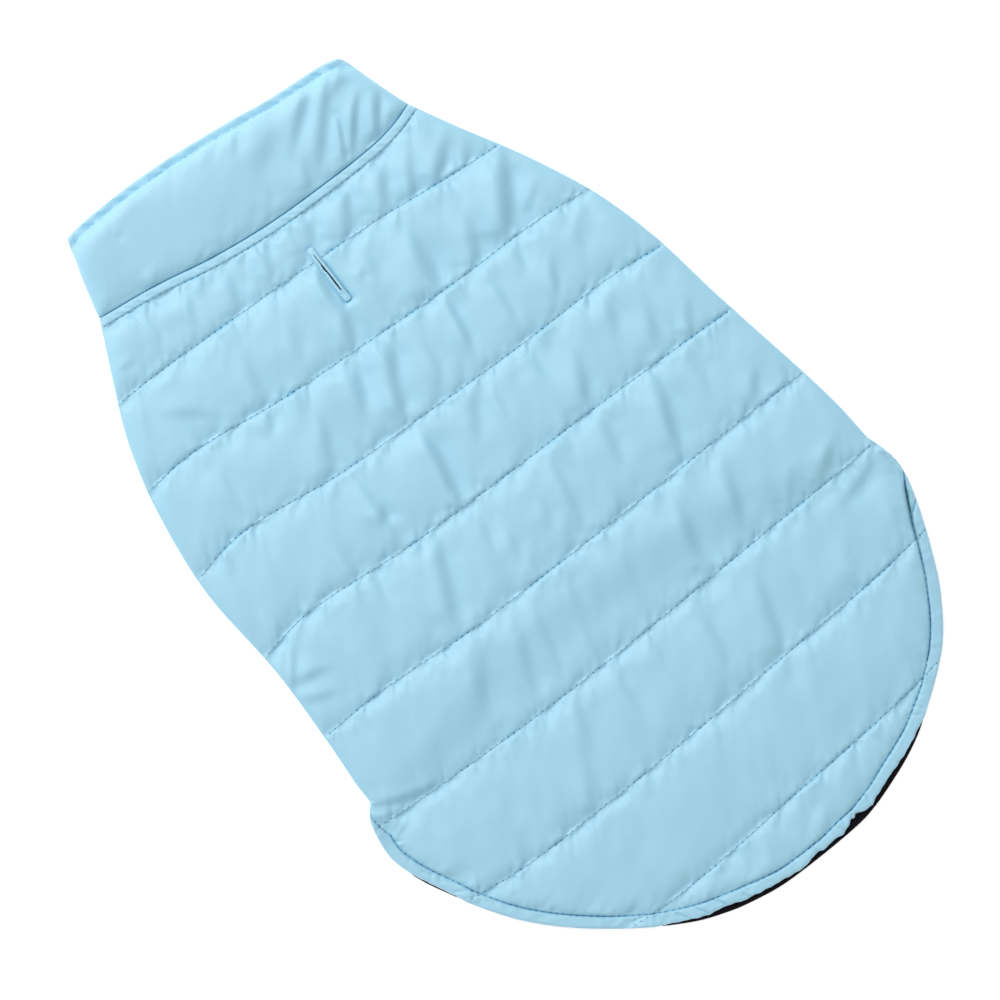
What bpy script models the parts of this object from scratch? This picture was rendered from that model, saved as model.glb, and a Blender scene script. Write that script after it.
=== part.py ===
"""Quilted winter coat for a medium dog, pulled on over the head, laid flat with its back up.

The tables are in millimetres and the meshes in metres. +Y runs along the spine towards the
collar, +X across the coat and +Z up from the table it lies on; the origin is on the table under
the middle of the coat. Every cloth piece is a padded wall between an upper and a lower skin that
share one outline. The puffs, seams and folds are worked into the outer points of a wall, over
a plain inside.
"""

import math
from collections import namedtuple

import bmesh
import bpy
import numpy as np
from mathutils import Vector
from mathutils.geometry import delaunay_2d_cdt

for old in list(bpy.data.objects):
    bpy.data.objects.remove(old, do_unlink=True)

MM = 0.001

# Driving dimensions, millimetres
GAP = 0.3  # clearance between pieces that are sewn or lie together
BELLY_THICK = 4.4  # padded panel on the table
LINING_THICK = 1.7  # fleece
SEAM_THICK = 1.6  # back panel where a seam presses it
LOFT = 3.4  # rise of a puff above its seams
PUFF_RISE = 6.0  # how far from a seam a puff has most of its height
EDGE_THICK = 1.2  # wall at a folded side edge
FOLD_ROUND = 11.0  # width of the rounded side fold of the back panel
BELLY_ROUND = 6.0  # width of the rounded side fold of the belly panel
BELLY_LIFT = 3.2  # how far that fold rises off the table
HEM_WIDTH = 6.0  # from the turned edge to its topstitching
HEM_EDGE = 1.0
HEM_CROWN = 1.6
HEM_RISE = 3.0
NECK_BAND = 4.0  # topstitched seam allowance below the collar
NECK_BAND_THICK = 2.7
COLLAR_RIM = 3.5  # flat stitched rim of the collar
COLLAR_RIM_THICK = 1.7
COLLAR_LOFT = 4.6
COLLAR_RISE = 5.0
COLLAR_FOLD = 9.0
SLIT_LENGTH = 27.6  # stitched frame round the leash slit
SLIT_WIDTH = 4.4
SLOT_LENGTH = 20.0  # the slit itself
SLOT_WIDTH = 0.8
FACING_THICK = 0.9
BELLY_CURVE = 25.0  # how far the belly panel's lower edge arches towards the head
LINING_OVERLAP = 3.0  # from that edge to the lining's upper edge
DROP_LENGTH = 20.0  # length over which the back panel comes down from belly panel to lining
LEG_HOLE_WIDTH = 54.0
LEG_HOLE_LENGTH = 68.0
LEG_HOLE_SPAN = 116.0  # between the centres of the two leg openings
LEG_HOLE_Y = 90.0
LEG_HOLE_SLANT = -0.11  # the seams run lower on the right by this slope
STEP = 7.5  # spacing of points along edges and seams
RING_GAP = 0.7  # the first ring of points inside an edge

BACK_BOTTOM = BELLY_THICK + GAP
HEM_BOTTOM = LINING_THICK + GAP

# Outline of the coat as it lies. The tail's last column is how far the lining peeks out.
EdgePoint = namedtuple("EdgePoint", "x y")
TailPoint = namedtuple("TailPoint", "x y peek")
LEFT_SIDE = [
    EdgePoint(-77.9, 167.4),
    EdgePoint(-92.5, 142.0),
    EdgePoint(-104.5, 118.0),
    EdgePoint(-114.0, 88.0),
    EdgePoint(-120.3, 50.0),
    EdgePoint(-119.9, 8.0),
    EdgePoint(-122.6, -27.0),
    EdgePoint(-125.4, -50.0),
    EdgePoint(-125.9, -60.5),
]
TAIL = [
    TailPoint(-125.9, -60.5, 0.0),
    TailPoint(-131.6, -68.0, 0.0),
    TailPoint(-134.8, -82.0, 0.0),
    TailPoint(-133.4, -93.0, 0.2),
    TailPoint(-130.4, -102.5, 0.7),
    TailPoint(-121.4, -122.0, 0.0),
    TailPoint(-110.5, -140.0, 0.0),
    TailPoint(-94.7, -158.0, 0.0),
    TailPoint(-73.8, -176.0, 0.0),
    TailPoint(-56.3, -188.0, 0.9),
    TailPoint(-42.8, -194.3, 2.2),
    TailPoint(-32.0, -197.8, 1.4),
    TailPoint(-17.0, -201.0, 1.0),
    TailPoint(4.0, -202.4, 1.8),
    TailPoint(23.0, -202.6, 3.6),
    TailPoint(33.0, -201.4, 2.3),
    TailPoint(45.0, -198.4, 1.8),
    TailPoint(58.7, -193.9, 1.1),
    TailPoint(72.5, -187.0, 0.0),
    TailPoint(97.3, -170.0, 0.0),
    TailPoint(112.4, -152.0, 0.0),
    TailPoint(122.4, -134.0, 0.0),
    TailPoint(130.4, -116.0, 0.0),
    TailPoint(134.3, -104.0, 0.0),
    TailPoint(134.9, -94.0, 0.0),
    TailPoint(132.3, -82.3, 0.0),
]
RIGHT_SIDE = [
    EdgePoint(132.3, -82.3),
    EdgePoint(131.9, -62.0),
    EdgePoint(129.4, -38.0),
    EdgePoint(124.1, 4.0),
    EdgePoint(120.4, 40.0),
    EdgePoint(113.8, 70.0),
    EdgePoint(102.3, 100.0),
    EdgePoint(87.9, 130.0),
    EdgePoint(78.6, 150.2),
]
NECK = [
    EdgePoint(78.6, 150.2),
    EdgePoint(66.0, 147.4),
    EdgePoint(51.8, 146.7),
    EdgePoint(25.9, 148.1),
    EdgePoint(-0.4, 150.7),
    EdgePoint(-25.9, 155.4),
    EdgePoint(-51.5, 162.1),
    EdgePoint(-77.9, 167.4),
]
COLLAR_LEFT = [EdgePoint(-67.2, 200.6), EdgePoint(-72.3, 186.4), EdgePoint(-77.9, 167.4)]
COLLAR_RIGHT = [EdgePoint(78.6, 150.2), EdgePoint(73.6, 166.0), EdgePoint(70.1, 180.2)]
COLLAR_TOP = [
    EdgePoint(70.1, 180.2),
    EdgePoint(66.8, 184.5),
    EdgePoint(61.0, 186.2),
    EdgePoint(35.7, 189.9),
    EdgePoint(11.5, 194.8),
    EdgePoint(-19.3, 200.2),
    EdgePoint(-38.8, 202.3),
    EdgePoint(-53.0, 202.6),
    EdgePoint(-67.2, 200.6),
]

# Quilting seams: the Y of each at its two ends and at five places between.
SEAM_PLACES = (0.0, 0.12, 0.31, 0.5, 0.69, 0.88, 1.0)
Seam = namedtuple("Seam", "left_end left_in left_mid middle right_mid right_in right_end")
SEAMS = [
    Seam(134.7, 133.7, 130.3, 126.6, 122.0, 115.7, 112.3),
    Seam(98.8, 98.9, 91.2, 85.8, 80.9, 77.9, 73.6),
    Seam(57.2, 59.9, 51.8, 47.0, 42.8, 40.1, 35.4),
    Seam(14.2, 16.3, 9.8, 5.9, 2.8, -1.0, -3.8),
    Seam(-27.6, -28.5, -34.2, -37.2, -39.7, -41.8, -43.6),
    Seam(-70.6, -74.7, -79.3, -82.2, -83.5, -85.0, -85.6),
    Seam(-119.0, -124.1, -127.0, -128.2, -128.6, -128.9, -127.4),
    Seam(-172.4, -175.3, -176.2, -175.5, -175.3, -174.6, -172.8),
]

# Largest folds: a soft trough from its upper to its lower end, its height and half width.
Fold = namedtuple("Fold", "top_x top_y foot_x foot_y height width")
BODY_FOLDS = [
    Fold(-23, 147, -32, 132, -1.0, 3.5),
    Fold(16, 140, 7, 131, -0.9, 3.0),
    Fold(37, 140, 24, 128, -1.0, 4.0),
    Fold(48, 139, 38, 125, -0.9, 3.0),
    Fold(84, 131, 64, 118, -1.2, 4.0),
    Fold(-72, 118, -58, 103, -0.9, 4.0),
    Fold(-42, 114, -51, 95, -1.0, 4.0),
    Fold(2, 102, -6, 88, -1.6, 4.0),
    Fold(46, 108, 38, 86, -0.9, 4.0),
    Fold(68, 99, 58, 84, -1.3, 4.0),
    Fold(94, 108, 74, 83, -1.6, 4.5),
    Fold(-36, 80, -44, 56, -1.1, 3.0),
    Fold(-12, 84, -21, 64, -1.4, 4.0),
    Fold(6, 83, -8, 52, -1.6, 4.0),
    Fold(36, 79, 31, 56, -1.0, 3.0),
    Fold(56, 74, 52, 50, -0.9, 3.5),
    Fold(82, 64, 73, 50, -1.1, 3.0),
    Fold(-40, 48, -46, 14, -1.0, 3.5),
    Fold(-9, 45, -14, 11, -1.6, 3.0),
    Fold(61, 25, 53, 4, -1.3, 3.0),
    Fold(98, 20, 90, 7, -0.9, 3.5),
    Fold(-29, 4, -49, -27, -1.4, 4.0),
    Fold(-6, -6, -13, -26, -1.1, 3.5),
    Fold(53, 0, 46, -28, -1.1, 4.0),
    Fold(80, -3, 69, -33, -1.5, 4.0),
    Fold(-117, -3, -102, -12, -1.3, 4.0),
    Fold(-47, -38, -66, -64, -1.3, 4.0),
    Fold(-30, -41, -43, -72, -1.1, 4.0),
    Fold(-20, -42, -29, -72, -1.0, 3.5),
    Fold(54, -45, 46, -78, -1.3, 4.0),
    Fold(80, -48, 70, -73, -1.3, 4.0),
    Fold(119, -74, 106, -83, -1.2, 3.0),
    Fold(-122, -63, -98, -72, -1.3, 4.0),
    Fold(-12, -85, -18, -112, -0.9, 4.0),
    Fold(60, -91, 48, -124, -1.2, 4.0),
    Fold(126, -93, 104, -99, -1.0, 4.5),
]
COLLAR_FOLDS = [
    Fold(48, 183, 25, 158, -1.0, 3.5),
    Fold(59, 180, 38, 154, -1.2, 3.5),
    Fold(69, 173, 46, 151, -1.4, 3.5),
    Fold(74, 164, 58, 151, -1.2, 3.0),
    Fold(20, 187, 8, 180, -0.8, 3.0),
    Fold(-70, 174, -50, 167, -0.8, 3.0),
]

Finish = namedtuple("Finish", "colour roughness")
SHELL_CLOTH = Finish((0.36, 0.66, 0.82), 0.5)
FLEECE = Finish((0.008, 0.009, 0.016), 0.95)


# ---- Curves on the table ----

def smooth_line(points, step):
    """A smooth line through the points, in even steps. It carries any further columns along."""
    points = np.array([tuple(p) for p in points], float)
    before = 2 * points[0] - points[1]
    after = 2 * points[-1] - points[-2]
    ring = np.vstack([before, points, after])
    fine = []
    for a, b, c, d in zip(ring, ring[1:], ring[2:], ring[3:]):
        for t in np.arange(0, 1, 0.05):
            fine.append(
                0.5 * (2 * b + (c - a) * t + (2 * a - 5 * b + 4 * c - d) * t**2
                       + (3 * b - a - 3 * c + d) * t**3)
            )
    fine.append(points[-1])
    fine = np.array(fine)
    along = np.concatenate([[0], np.cumsum(np.hypot(*np.diff(fine[:, :2], axis=0).T))])
    places = np.linspace(0, along[-1], max(2, round(along[-1] / step) + 1))
    return np.array([np.interp(places, along, column) for column in fine.T]).T


def line_height(line):
    """The line's Y as a function of X."""
    line = line[np.argsort(line[:, 0])]
    return lambda x: np.interp(x, line[:, 0], line[:, 1])


def moved_in(line, amount):
    """A line that runs counter-clockwise round the coat, moved towards the inside."""
    run = np.gradient(line[:, :2], axis=0)
    run /= np.hypot(*run.T)[:, None]
    inward = np.stack([-run[:, 1], run[:, 0]], axis=1)
    return line[:, :2] + inward * np.reshape(amount, (-1, 1))


def nearest(points, line):
    """Distance from each point to the line, and how far along the line that is."""
    start, run = line[:-1, :2], np.diff(line[:, :2], axis=0)
    lengths = np.hypot(*run.T)
    begins = np.concatenate([[0], np.cumsum(lengths)[:-1]])
    offset = points[:, None, :] - start[None]
    t = np.clip((offset * run).sum(-1) / lengths**2, 0, 1)
    apart = np.hypot(*np.moveaxis(offset - t[..., None] * run, -1, 0))
    best = apart.argmin(axis=1)
    rows = np.arange(len(points))
    return apart[rows, best], begins[best] + t[rows, best] * lengths[best]


def inside(points, loop):
    """Whether each point lies inside the closed loop."""
    x, y = points.T
    found = np.zeros(len(points), bool)
    for (ax, ay), (bx, by) in zip(loop, np.roll(loop, -1, axis=0)):
        crosses = (ay > y) != (by > y)
        if ay != by:
            found ^= crosses & (x < ax + (bx - ax) * (y - ay) / (by - ay))
    return found


def joined(*lines):
    """One loop of lines that meet end to end."""
    return np.vstack([line[:-1, :2] for line in lines])


left_side = smooth_line(LEFT_SIDE, STEP)
tail = smooth_line(TAIL, STEP * 0.7)
right_side = smooth_line(RIGHT_SIDE, STEP)
neck = smooth_line(NECK, STEP)
neck_y = line_height(neck)
hem = moved_in(tail, np.maximum(tail[:, 2], 0))
hem[0], hem[-1] = tail[0, :2], tail[-1, :2]
hem_length = np.hypot(*np.diff(hem, axis=0).T).sum()


def hem_width(along):
    """The turned hem starts at nothing at the belly corners, sooner on the left."""
    grow = np.minimum(along / 18.0, (hem_length - along) / 60.0)
    return HEM_WIDTH * np.clip(grow, 0.02, 1.0)


def seam_line(seam):
    """Y of a quilting seam as a function of X, from one side of the coat to the other."""
    left = np.vstack([left_side[:, :2], tail[: len(tail) // 2, :2]])
    right = np.vstack([right_side[:, :2], tail[len(tail) // 2 :, :2]])
    ends = [line_height(side[:, ::-1])(y)
            for side, y in ((left, seam.left_end), (right, seam.right_end))]
    points = [(ends[0] + place * (ends[1] - ends[0]), y) for place, y in zip(SEAM_PLACES, seam)]
    return line_height(smooth_line(points, 2.0))


seam_lines = [seam_line(seam) for seam in SEAMS]


topstitch_y = line_height(moved_in(neck, NECK_BAND))


def belly_edge_y(x):
    """Lower edge of the belly panel: an arch between its two corners."""
    first, last = tail[0], tail[-1]
    t = np.clip((x - first[0]) / (last[0] - first[0]), 0, 1)
    return first[1] + t * (last[1] - first[1]) + BELLY_CURVE * (1 - (2 * t - 1) ** 2)


# ---- The leash slit ----

SLIT_TOP = np.array([7.2, 131.8])
SLIT_FOOT = np.array([5.6, 104.2])
slit_run = (SLIT_TOP - SLIT_FOOT) / np.hypot(*(SLIT_TOP - SLIT_FOOT))
slit_across = np.array([slit_run[1], -slit_run[0]])
slit_centre = (SLIT_TOP + SLIT_FOOT) / 2


def slit_frame(length, width, corner):
    """A rectangle with cut corners round the slit, counter-clockwise."""
    a, b = length / 2, width / 2
    sides = [(-b + corner, -a), (b - corner, -a), (b, -a + corner), (b, a - corner),
             (b - corner, a), (-b + corner, a), (-b, a - corner), (-b, -a + corner)]
    return np.array([slit_centre + u * slit_across + v * slit_run for u, v in sides])


def slit_distance(points):
    """How far each point is outside the stitched frame."""
    off = points - slit_centre
    u = np.abs(off @ slit_across) - SLIT_WIDTH / 2 - 0.6
    v = np.abs(off @ slit_run) - SLIT_LENGTH / 2 - 0.6
    return np.hypot(np.maximum(u, 0), np.maximum(v, 0))


# ---- Heights ----

def rise(distance, reach):
    """0 at a seam and near 1 a few reaches away from it."""
    return (1 - np.exp(-np.maximum(distance, 0) / reach)) ** 0.8


def quarter_round(distance, width):
    return np.sqrt(1 - (1 - np.clip(distance / width, 0, 1)) ** 2)


def fold_relief(points, folds):
    """Sum of the folds' soft troughs."""
    relief = np.zeros(len(points))
    for fold in folds:
        top = np.array([fold.top_x, fold.top_y], float)
        run = np.array([fold.foot_x, fold.foot_y], float) - top
        length = np.hypot(*run)
        off = points - top
        t = off @ run / length**2
        across = (off @ np.array([-run[1], run[0]])) / length
        ends = np.sin(np.pi * np.clip(t * 0.9 + 0.05, 0, 1)) ** 0.5
        relief += fold.height * ends * np.exp(-((across / fold.width) ** 2))
    return relief


def back_underside(points):
    """Plain inside of the back panel: on the belly panel, then down onto the tail lining."""
    beyond = (belly_edge_y(points[:, 0]) - points[:, 1] - 1.0) / DROP_LENGTH
    t = np.clip(beyond, 0, 1)
    return BACK_BOTTOM + (HEM_BOTTOM - BACK_BOTTOM) * t * t * (3 - 2 * t)


def back_thickness(points):
    x, y = points.T
    puff = np.ones(len(points))
    for line in [topstitch_y] + seam_lines:
        puff *= rise(np.abs(line(x) - y), PUFF_RISE)
    puff *= rise(slit_distance(points), PUFF_RISE * 0.7)
    from_hem, along = nearest(points, hem)
    width = hem_width(along)
    puff *= rise(from_hem - width, HEM_RISE)
    relief = fold_relief(points, BODY_FOLDS) * puff
    from_side = np.minimum(nearest(points, left_side)[0], nearest(points, right_side)[0])
    thick = SEAM_THICK + LOFT * puff + relief
    thick = EDGE_THICK + (thick - EDGE_THICK) * quarter_round(from_side, FOLD_ROUND)
    across = np.clip(from_hem / width, 0, 1)
    band = HEM_EDGE + HEM_CROWN * np.sqrt(4 * across * (1 - across))
    thick = np.where(from_hem < width, np.minimum(band, thick + HEM_EDGE), thick)
    in_band = np.clip((y - topstitch_y(x)) / NECK_BAND, 0, 1)
    neck_band = SEAM_THICK + (NECK_BAND_THICK - SEAM_THICK) * np.sqrt(4 * in_band * (1 - in_band))
    neck_band *= np.clip(0.5 + from_side / 4, 0, 1)
    return np.where(in_band > 0, neck_band, thick)


def back_top(points):
    return back_underside(points) + back_thickness(points)


def collar_top_surface(points):
    sides = np.minimum(nearest(points, collar_left)[0], nearest(points, collar_right)[0])
    from_top = nearest(points, collar_top)[0]
    from_neck = nearest(points, collar_foot)[0]
    puff = rise(from_top - COLLAR_RIM, COLLAR_RISE * 0.6) * quarter_round(from_neck, COLLAR_RISE)
    relief = fold_relief(points, COLLAR_FOLDS) * puff
    thick = SEAM_THICK + COLLAR_LOFT * puff + relief
    thick = EDGE_THICK + (thick - EDGE_THICK) * quarter_round(sides, COLLAR_FOLD)
    rim = np.minimum(COLLAR_RIM_THICK, 0.8 + sides / 3)
    return BACK_BOTTOM + np.where(from_top < COLLAR_RIM, rim, thick)


def round_underside(points, *sides):
    """Flat on the table, and lifted at the rounded side folds."""
    from_side = np.min([nearest(points, side)[0] for side in sides], axis=0)
    return BELLY_LIFT * (1 - quarter_round(from_side, BELLY_ROUND))


# ---- Solids ----

def triangulate(loops, points, lines):
    """Triangles inside the first loop and outside the others, through the points and lines."""
    coords, edges = [], []
    for loop in loops:
        first = len(coords)
        coords += [Vector(p) for p in loop]
        edges += [(first + i, first + (i + 1) % len(loop)) for i in range(len(loop))]
    rims = len(coords)
    for line in lines:
        first = len(coords)
        coords += [Vector(p) for p in line]
        edges += [(first + i, first + i + 1) for i in range(len(line) - 1)]
    coords += [Vector(p) for p in points]
    out, _, faces, origins, _, _ = delaunay_2d_cdt(coords, edges, [], 0, 0.02)
    flat = np.array([tuple(v) for v in out])
    faces = np.array(faces)
    middles = flat[faces].mean(axis=1)
    keep = inside(middles, loops[0])
    for hole in loops[1:]:
        keep &= ~inside(middles, hole)
    faces = faces[keep]
    a, b, c = (flat[faces[:, i]] for i in range(3))
    turned = (b - a)[:, 0] * (c - a)[:, 1] - (b - a)[:, 1] * (c - a)[:, 0] < 0
    faces[turned] = faces[turned][:, ::-1]
    rim_of = {source: i for i, sources in enumerate(origins) for source in sources}
    return flat, faces, [rim_of[i] for i in range(rims)]


def wall(name, loops, upper, lower, finish):
    """A closed wall between two skins; each skin is its height function, points and lines."""
    vertices, faces, rims = [], [], []
    for heights, points, lines in (upper, lower):
        flat, tris, rim = triangulate(loops, points, lines)
        first = sum(map(len, vertices))
        vertices.append(np.column_stack([flat, heights(flat)]))
        faces += (tris + first)[:, :: 1 if not rims else -1].tolist()
        rims.append([i + first for i in rim])
    start = 0
    for hole, loop in enumerate(loops):
        ring = list(range(start, start + len(loop)))[:: -1 if hole else 1]
        for i, j in zip(ring, ring[1:] + ring[:1]):
            faces.append([rims[1][i], rims[1][j], rims[0][j], rims[0][i]])
        start += len(loop)
    mesh = bpy.data.meshes.new(name)
    mesh.from_pydata((np.vstack(vertices) * MM).tolist(), [], faces)
    used = np.unique(np.concatenate([np.ravel(face) for face in faces]))
    if len(used) < len(mesh.vertices):
        drop_loose(mesh)
    mesh.shade_smooth()
    mesh.set_sharp_from_angle(angle=math.radians(50))
    mesh.materials.append(material(name, finish))
    made = bpy.data.objects.new(name, mesh)
    bpy.context.scene.collection.objects.link(made)
    return made


def drop_loose(mesh):
    """Removes points that no face uses."""
    cloth = bmesh.new()
    cloth.from_mesh(mesh)
    loose = [v for v in cloth.verts if not v.link_faces]
    bmesh.ops.delete(cloth, geom=loose, context="VERTS")
    cloth.to_mesh(mesh)
    cloth.free()


def material(name, finish):
    made = bpy.data.materials.new(name)
    made.use_nodes = True
    shader = made.node_tree.nodes["Principled BSDF"]
    shader.inputs["Base Color"].default_value = (*finish.colour, 1)
    shader.inputs["Roughness"].default_value = finish.roughness
    return made


# ---- Points and lines that shape a skin ----

def rings(edge, depths):
    """Rows of points at these distances inside an edge."""
    return np.vstack([moved_in(edge, depth) for depth in depths])


def is_clear(points, loops, margin):
    """Which points lie inside the first loop and outside the others, the margin from each."""
    clear = inside(points, loops[0])
    for loop in loops:
        clear &= nearest(points, np.vstack([loop, loop[:1]]))[0] > margin
    for hole in loops[1:]:
        clear &= ~inside(points, hole)
    return clear


def gathered(loops, lines, kinds):
    """Points of each kind in turn: clear of the loops, and not too near points already there."""
    found = np.vstack(lines)
    for points, margin, spacing in kinds:
        points = points[is_clear(points, loops, margin)]
        apart = np.hypot(*np.moveaxis(points[:, None] - found[None], -1, 0)).min(axis=1)
        found = np.vstack([found, points[apart > spacing]])
    return found[sum(map(len, lines)) :]


def fold_points(folds):
    """Points along the bottom and both shoulders of each fold."""
    found = []
    for fold in folds:
        top = np.array([fold.top_x, fold.top_y], float)
        run = np.array([fold.foot_x, fold.foot_y], float) - top
        length = np.hypot(*run)
        side = np.array([-run[1], run[0]]) / length * fold.width * 1.4
        for t in np.linspace(0.05, 0.95, max(3, round(length / STEP) + 1)):
            found += [top + run * t, top + run * t + side, top + run * t - side]
    return np.array(found)


def runs_inside(line, loops, margin):
    """The stretches of a line that lie inside the loops, at least the margin from each."""
    clear = np.concatenate([[0], is_clear(line, loops, margin), [0]]).astype(int)
    changes = np.flatnonzero(np.diff(clear))
    return [line[i:j] for i, j in zip(changes[::2], changes[1::2]) if j - i > 1]


def full_line(height, step):
    """A line Y = height(X) across more than the whole coat."""
    x = np.arange(-150, 150, step)
    return np.column_stack([x, height(x)])


def channel_rows(upper, lower):
    """Rows of points between two seams, away from both."""
    x = np.arange(-135, 135, STEP * 1.15)
    places = [upper(x) - 8.5, lower(x) + 8.5, upper(x) - 15, lower(x) + 15]
    places.append((upper(x) + lower(x)) / 2)
    found = []
    for row, y in enumerate(places):
        fits = (y < upper(x) - 7) & (y > lower(x) + 7)
        found.append(np.column_stack([x + (row % 2) * STEP * 0.5, y])[fits])
    return np.vstack(found)


# ---- The pieces ----

def make_back_panel():
    """Quilted back with its tail flap: puffs between the seams over a plain inside."""
    loops = [joined(left_side, hem, right_side, neck), slit_frame(SLOT_LENGTH, SLOT_WIDTH, 0.2)]
    press = slit_frame(SLIT_LENGTH + 1.0, SLIT_WIDTH + 1.0, 0.6)
    outside_press = [loops[0], press]
    lines = [np.vstack([press, press[:1]])]
    beside = []
    for height in seam_lines:
        for line in runs_inside(full_line(height, STEP), outside_press, 0.9):
            lines.append(line)
            beside.append(rings(line, (-4.0, -1.5, 1.5, 4.0)))
    lines += runs_inside(moved_in(neck, NECK_BAND), outside_press, 0.9)
    beside.append(rings(neck, (RING_GAP, 2.0, NECK_BAND - RING_GAP, NECK_BAND + 1.2, 8.0)))
    hem_along = np.concatenate([[0], np.cumsum(np.hypot(*np.diff(hem, axis=0).T))])
    stitch = moved_in(hem, hem_width(hem_along))
    lines.append(stitch[hem_width(hem_along) > 1.5])
    sides = [rings(side, (RING_GAP, 2.2, 5.0, 9.0)) for side in (left_side, right_side)]
    flap = [rings(hem, (RING_GAP, 3.0)), rings(stitch, (1.0, 3.0, 7.0))]
    heights = [topstitch_y] + seam_lines + [lambda x: x * 0 - 215.0]
    rows = [channel_rows(upper, lower) for upper, lower in zip(heights, heights[1:])]
    points = gathered(outside_press, lines, (
        (np.vstack(beside), 0.9, 1.0),
        (np.vstack(sides + flap), 0.6, 1.0),
        (fold_points(BODY_FOLDS), 2.5, 3.4),
        (np.vstack(rows), 3.0, 3.2),
    ))
    drop = []
    for depth in np.linspace(1.0, 1.0 + DROP_LENGTH, 6):
        line = full_line(lambda x: belly_edge_y(x) - depth, STEP * 2)
        drop += runs_inside(line, loops, 0.9)
    return wall("back_panel", loops, (back_top, points, lines), (back_underside, [], drop),
                SHELL_CLOTH)


def make_tail_lining():
    """Fleece under the tail flap, a sheet that shows past the hem where it peeks out."""
    hidden = 1.0 - np.minimum(tail[:, 2] / 0.5, 1)
    edge = moved_in(tail, hidden)
    x = np.linspace(edge[-1, 0] - 2, edge[0, 0] + 2, 36)
    upper = np.column_stack([x, belly_edge_y(x) - LINING_OVERLAP])
    edge = edge[edge[:, 1] < belly_edge_y(edge[:, 0]) - LINING_OVERLAP - 1.0]
    loop = np.vstack([edge, upper])

    def top(points):
        return LINING_THICK - 0.6 * (1 - quarter_round(nearest(points, edge)[0], 1.0))

    ring = rings(edge, (0.4, 1.0))
    ring = ring[is_clear(ring, [loop], 0.3)]
    return wall("tail_lining", [loop], (top, ring, []), (lambda p: p[:, 0] * 0, [], []), FLEECE)


def leg_hole(side):
    """One leg opening, an oval that leans with the coat; side is -1 or 1."""
    x = side * LEG_HOLE_SPAN / 2
    turns = np.linspace(0, 2 * math.pi, 32, endpoint=False)
    return np.column_stack([
        x + LEG_HOLE_WIDTH / 2 * np.cos(turns),
        LEG_HOLE_Y + LEG_HOLE_SLANT * x + LEG_HOLE_LENGTH / 2 * np.sin(turns),
    ])


def make_belly_panel():
    """Padded chest and belly panel: it lies on the table and has the two leg openings."""
    x = np.linspace(left_side[-1, 0], right_side[0, 0], 36)
    lower_edge = np.column_stack([x, belly_edge_y(x)])
    loops = [joined(left_side, lower_edge, right_side, neck), leg_hole(-1), leg_hole(1)]
    holes = [np.vstack([hole, hole[:1]]) for hole in loops[1:]]

    def underside(points):
        from_hole = np.min([nearest(points, hole)[0] for hole in holes], axis=0)
        turned = 0.9 * (1 - quarter_round(from_hole, 2.0))
        return np.maximum(round_underside(points, left_side, right_side), turned)

    sides = [rings(side, (0.5, 1.6, 3.4, BELLY_ROUND)) for side in (left_side, right_side)]
    round_holes = [rings(hole[:, :2], (-0.6, -2.0)) for hole in holes]
    points = np.vstack(sides + round_holes)
    points = points[is_clear(points, loops, 0.4)]
    flat = lambda p: np.full(len(p), BELLY_THICK)
    return wall("belly_panel", loops, (flat, [], []), (underside, points, []), SHELL_CLOTH)


collar_left = smooth_line(COLLAR_LEFT, STEP)
collar_right = smooth_line(COLLAR_RIGHT, STEP)
collar_top = smooth_line(COLLAR_TOP, STEP)
collar_foot = moved_in(neck[::-1], GAP)
collar_left[-1, :2], collar_right[0, :2] = collar_foot[0], collar_foot[-1]


def make_collar():
    """Stand collar, folded flat: a back half and a chest half that lie on each other."""
    loop = joined(collar_left, collar_foot, collar_right, collar_top)
    rim = moved_in(collar_top, COLLAR_RIM)
    stitch = runs_inside(rim, [loop], 0.9)
    beside = rings(rim, (-1.0, 1.0, 3.0))
    sides = [rings(side, (RING_GAP, 2.2, 4.8)) for side in (collar_left, collar_right)]
    foot = rings(collar_foot, (0.8, 2.0, 4.5))
    rows = np.vstack([rings(rim, (7.0, 12.0, 18.0)), rings(collar_foot, (9.0, 15.0, 21.0))])
    points = gathered([loop], stitch, (
        (np.vstack([beside, foot]), 0.6, 0.8),
        (np.vstack(sides), 0.6, 1.0),
        (fold_points(COLLAR_FOLDS), 5.0, 2.8),
        (rows, 0.6, 2.4),
    ))
    wall("collar_back", [loop], (collar_top_surface, points, stitch),
         (lambda p: np.full(len(p), BACK_BOTTOM), [], []), SHELL_CLOTH)
    low = np.vstack([rings(side, (0.5, 1.6, 3.4, BELLY_ROUND))
                     for side in (collar_left, collar_right)])
    wall("collar_chest", [loop],
         (lambda p: np.full(len(p), BELLY_THICK), [], []),
         (lambda p: round_underside(p, collar_left, collar_right),
          low[is_clear(low, [loop], 0.4)], []), SHELL_CLOTH)


def make_leash_slit_facing():
    """Stitched frame round the leash slit: it lies on the pressed part of the back panel."""
    loops = [slit_frame(SLIT_LENGTH, SLIT_WIDTH, 0.8), slit_frame(SLOT_LENGTH, SLOT_WIDTH, 0.2)]
    bed = BACK_BOTTOM + SEAM_THICK + GAP
    ring = np.vstack([loops[0], loops[0][:1]])

    def top(points):
        return bed + FACING_THICK - 0.4 * (1 - quarter_round(nearest(points, ring)[0], 0.8))

    inner = slit_frame(SLIT_LENGTH - 1.6, SLIT_WIDTH - 1.6, 0.5)
    wall("leash_slit_facing", loops, (top, inner, []),
         (lambda p: np.full(len(p), bed), [], []), SHELL_CLOTH)


make_back_panel()
make_tail_lining()
make_belly_panel()
make_collar()
make_leash_slit_facing()
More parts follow.
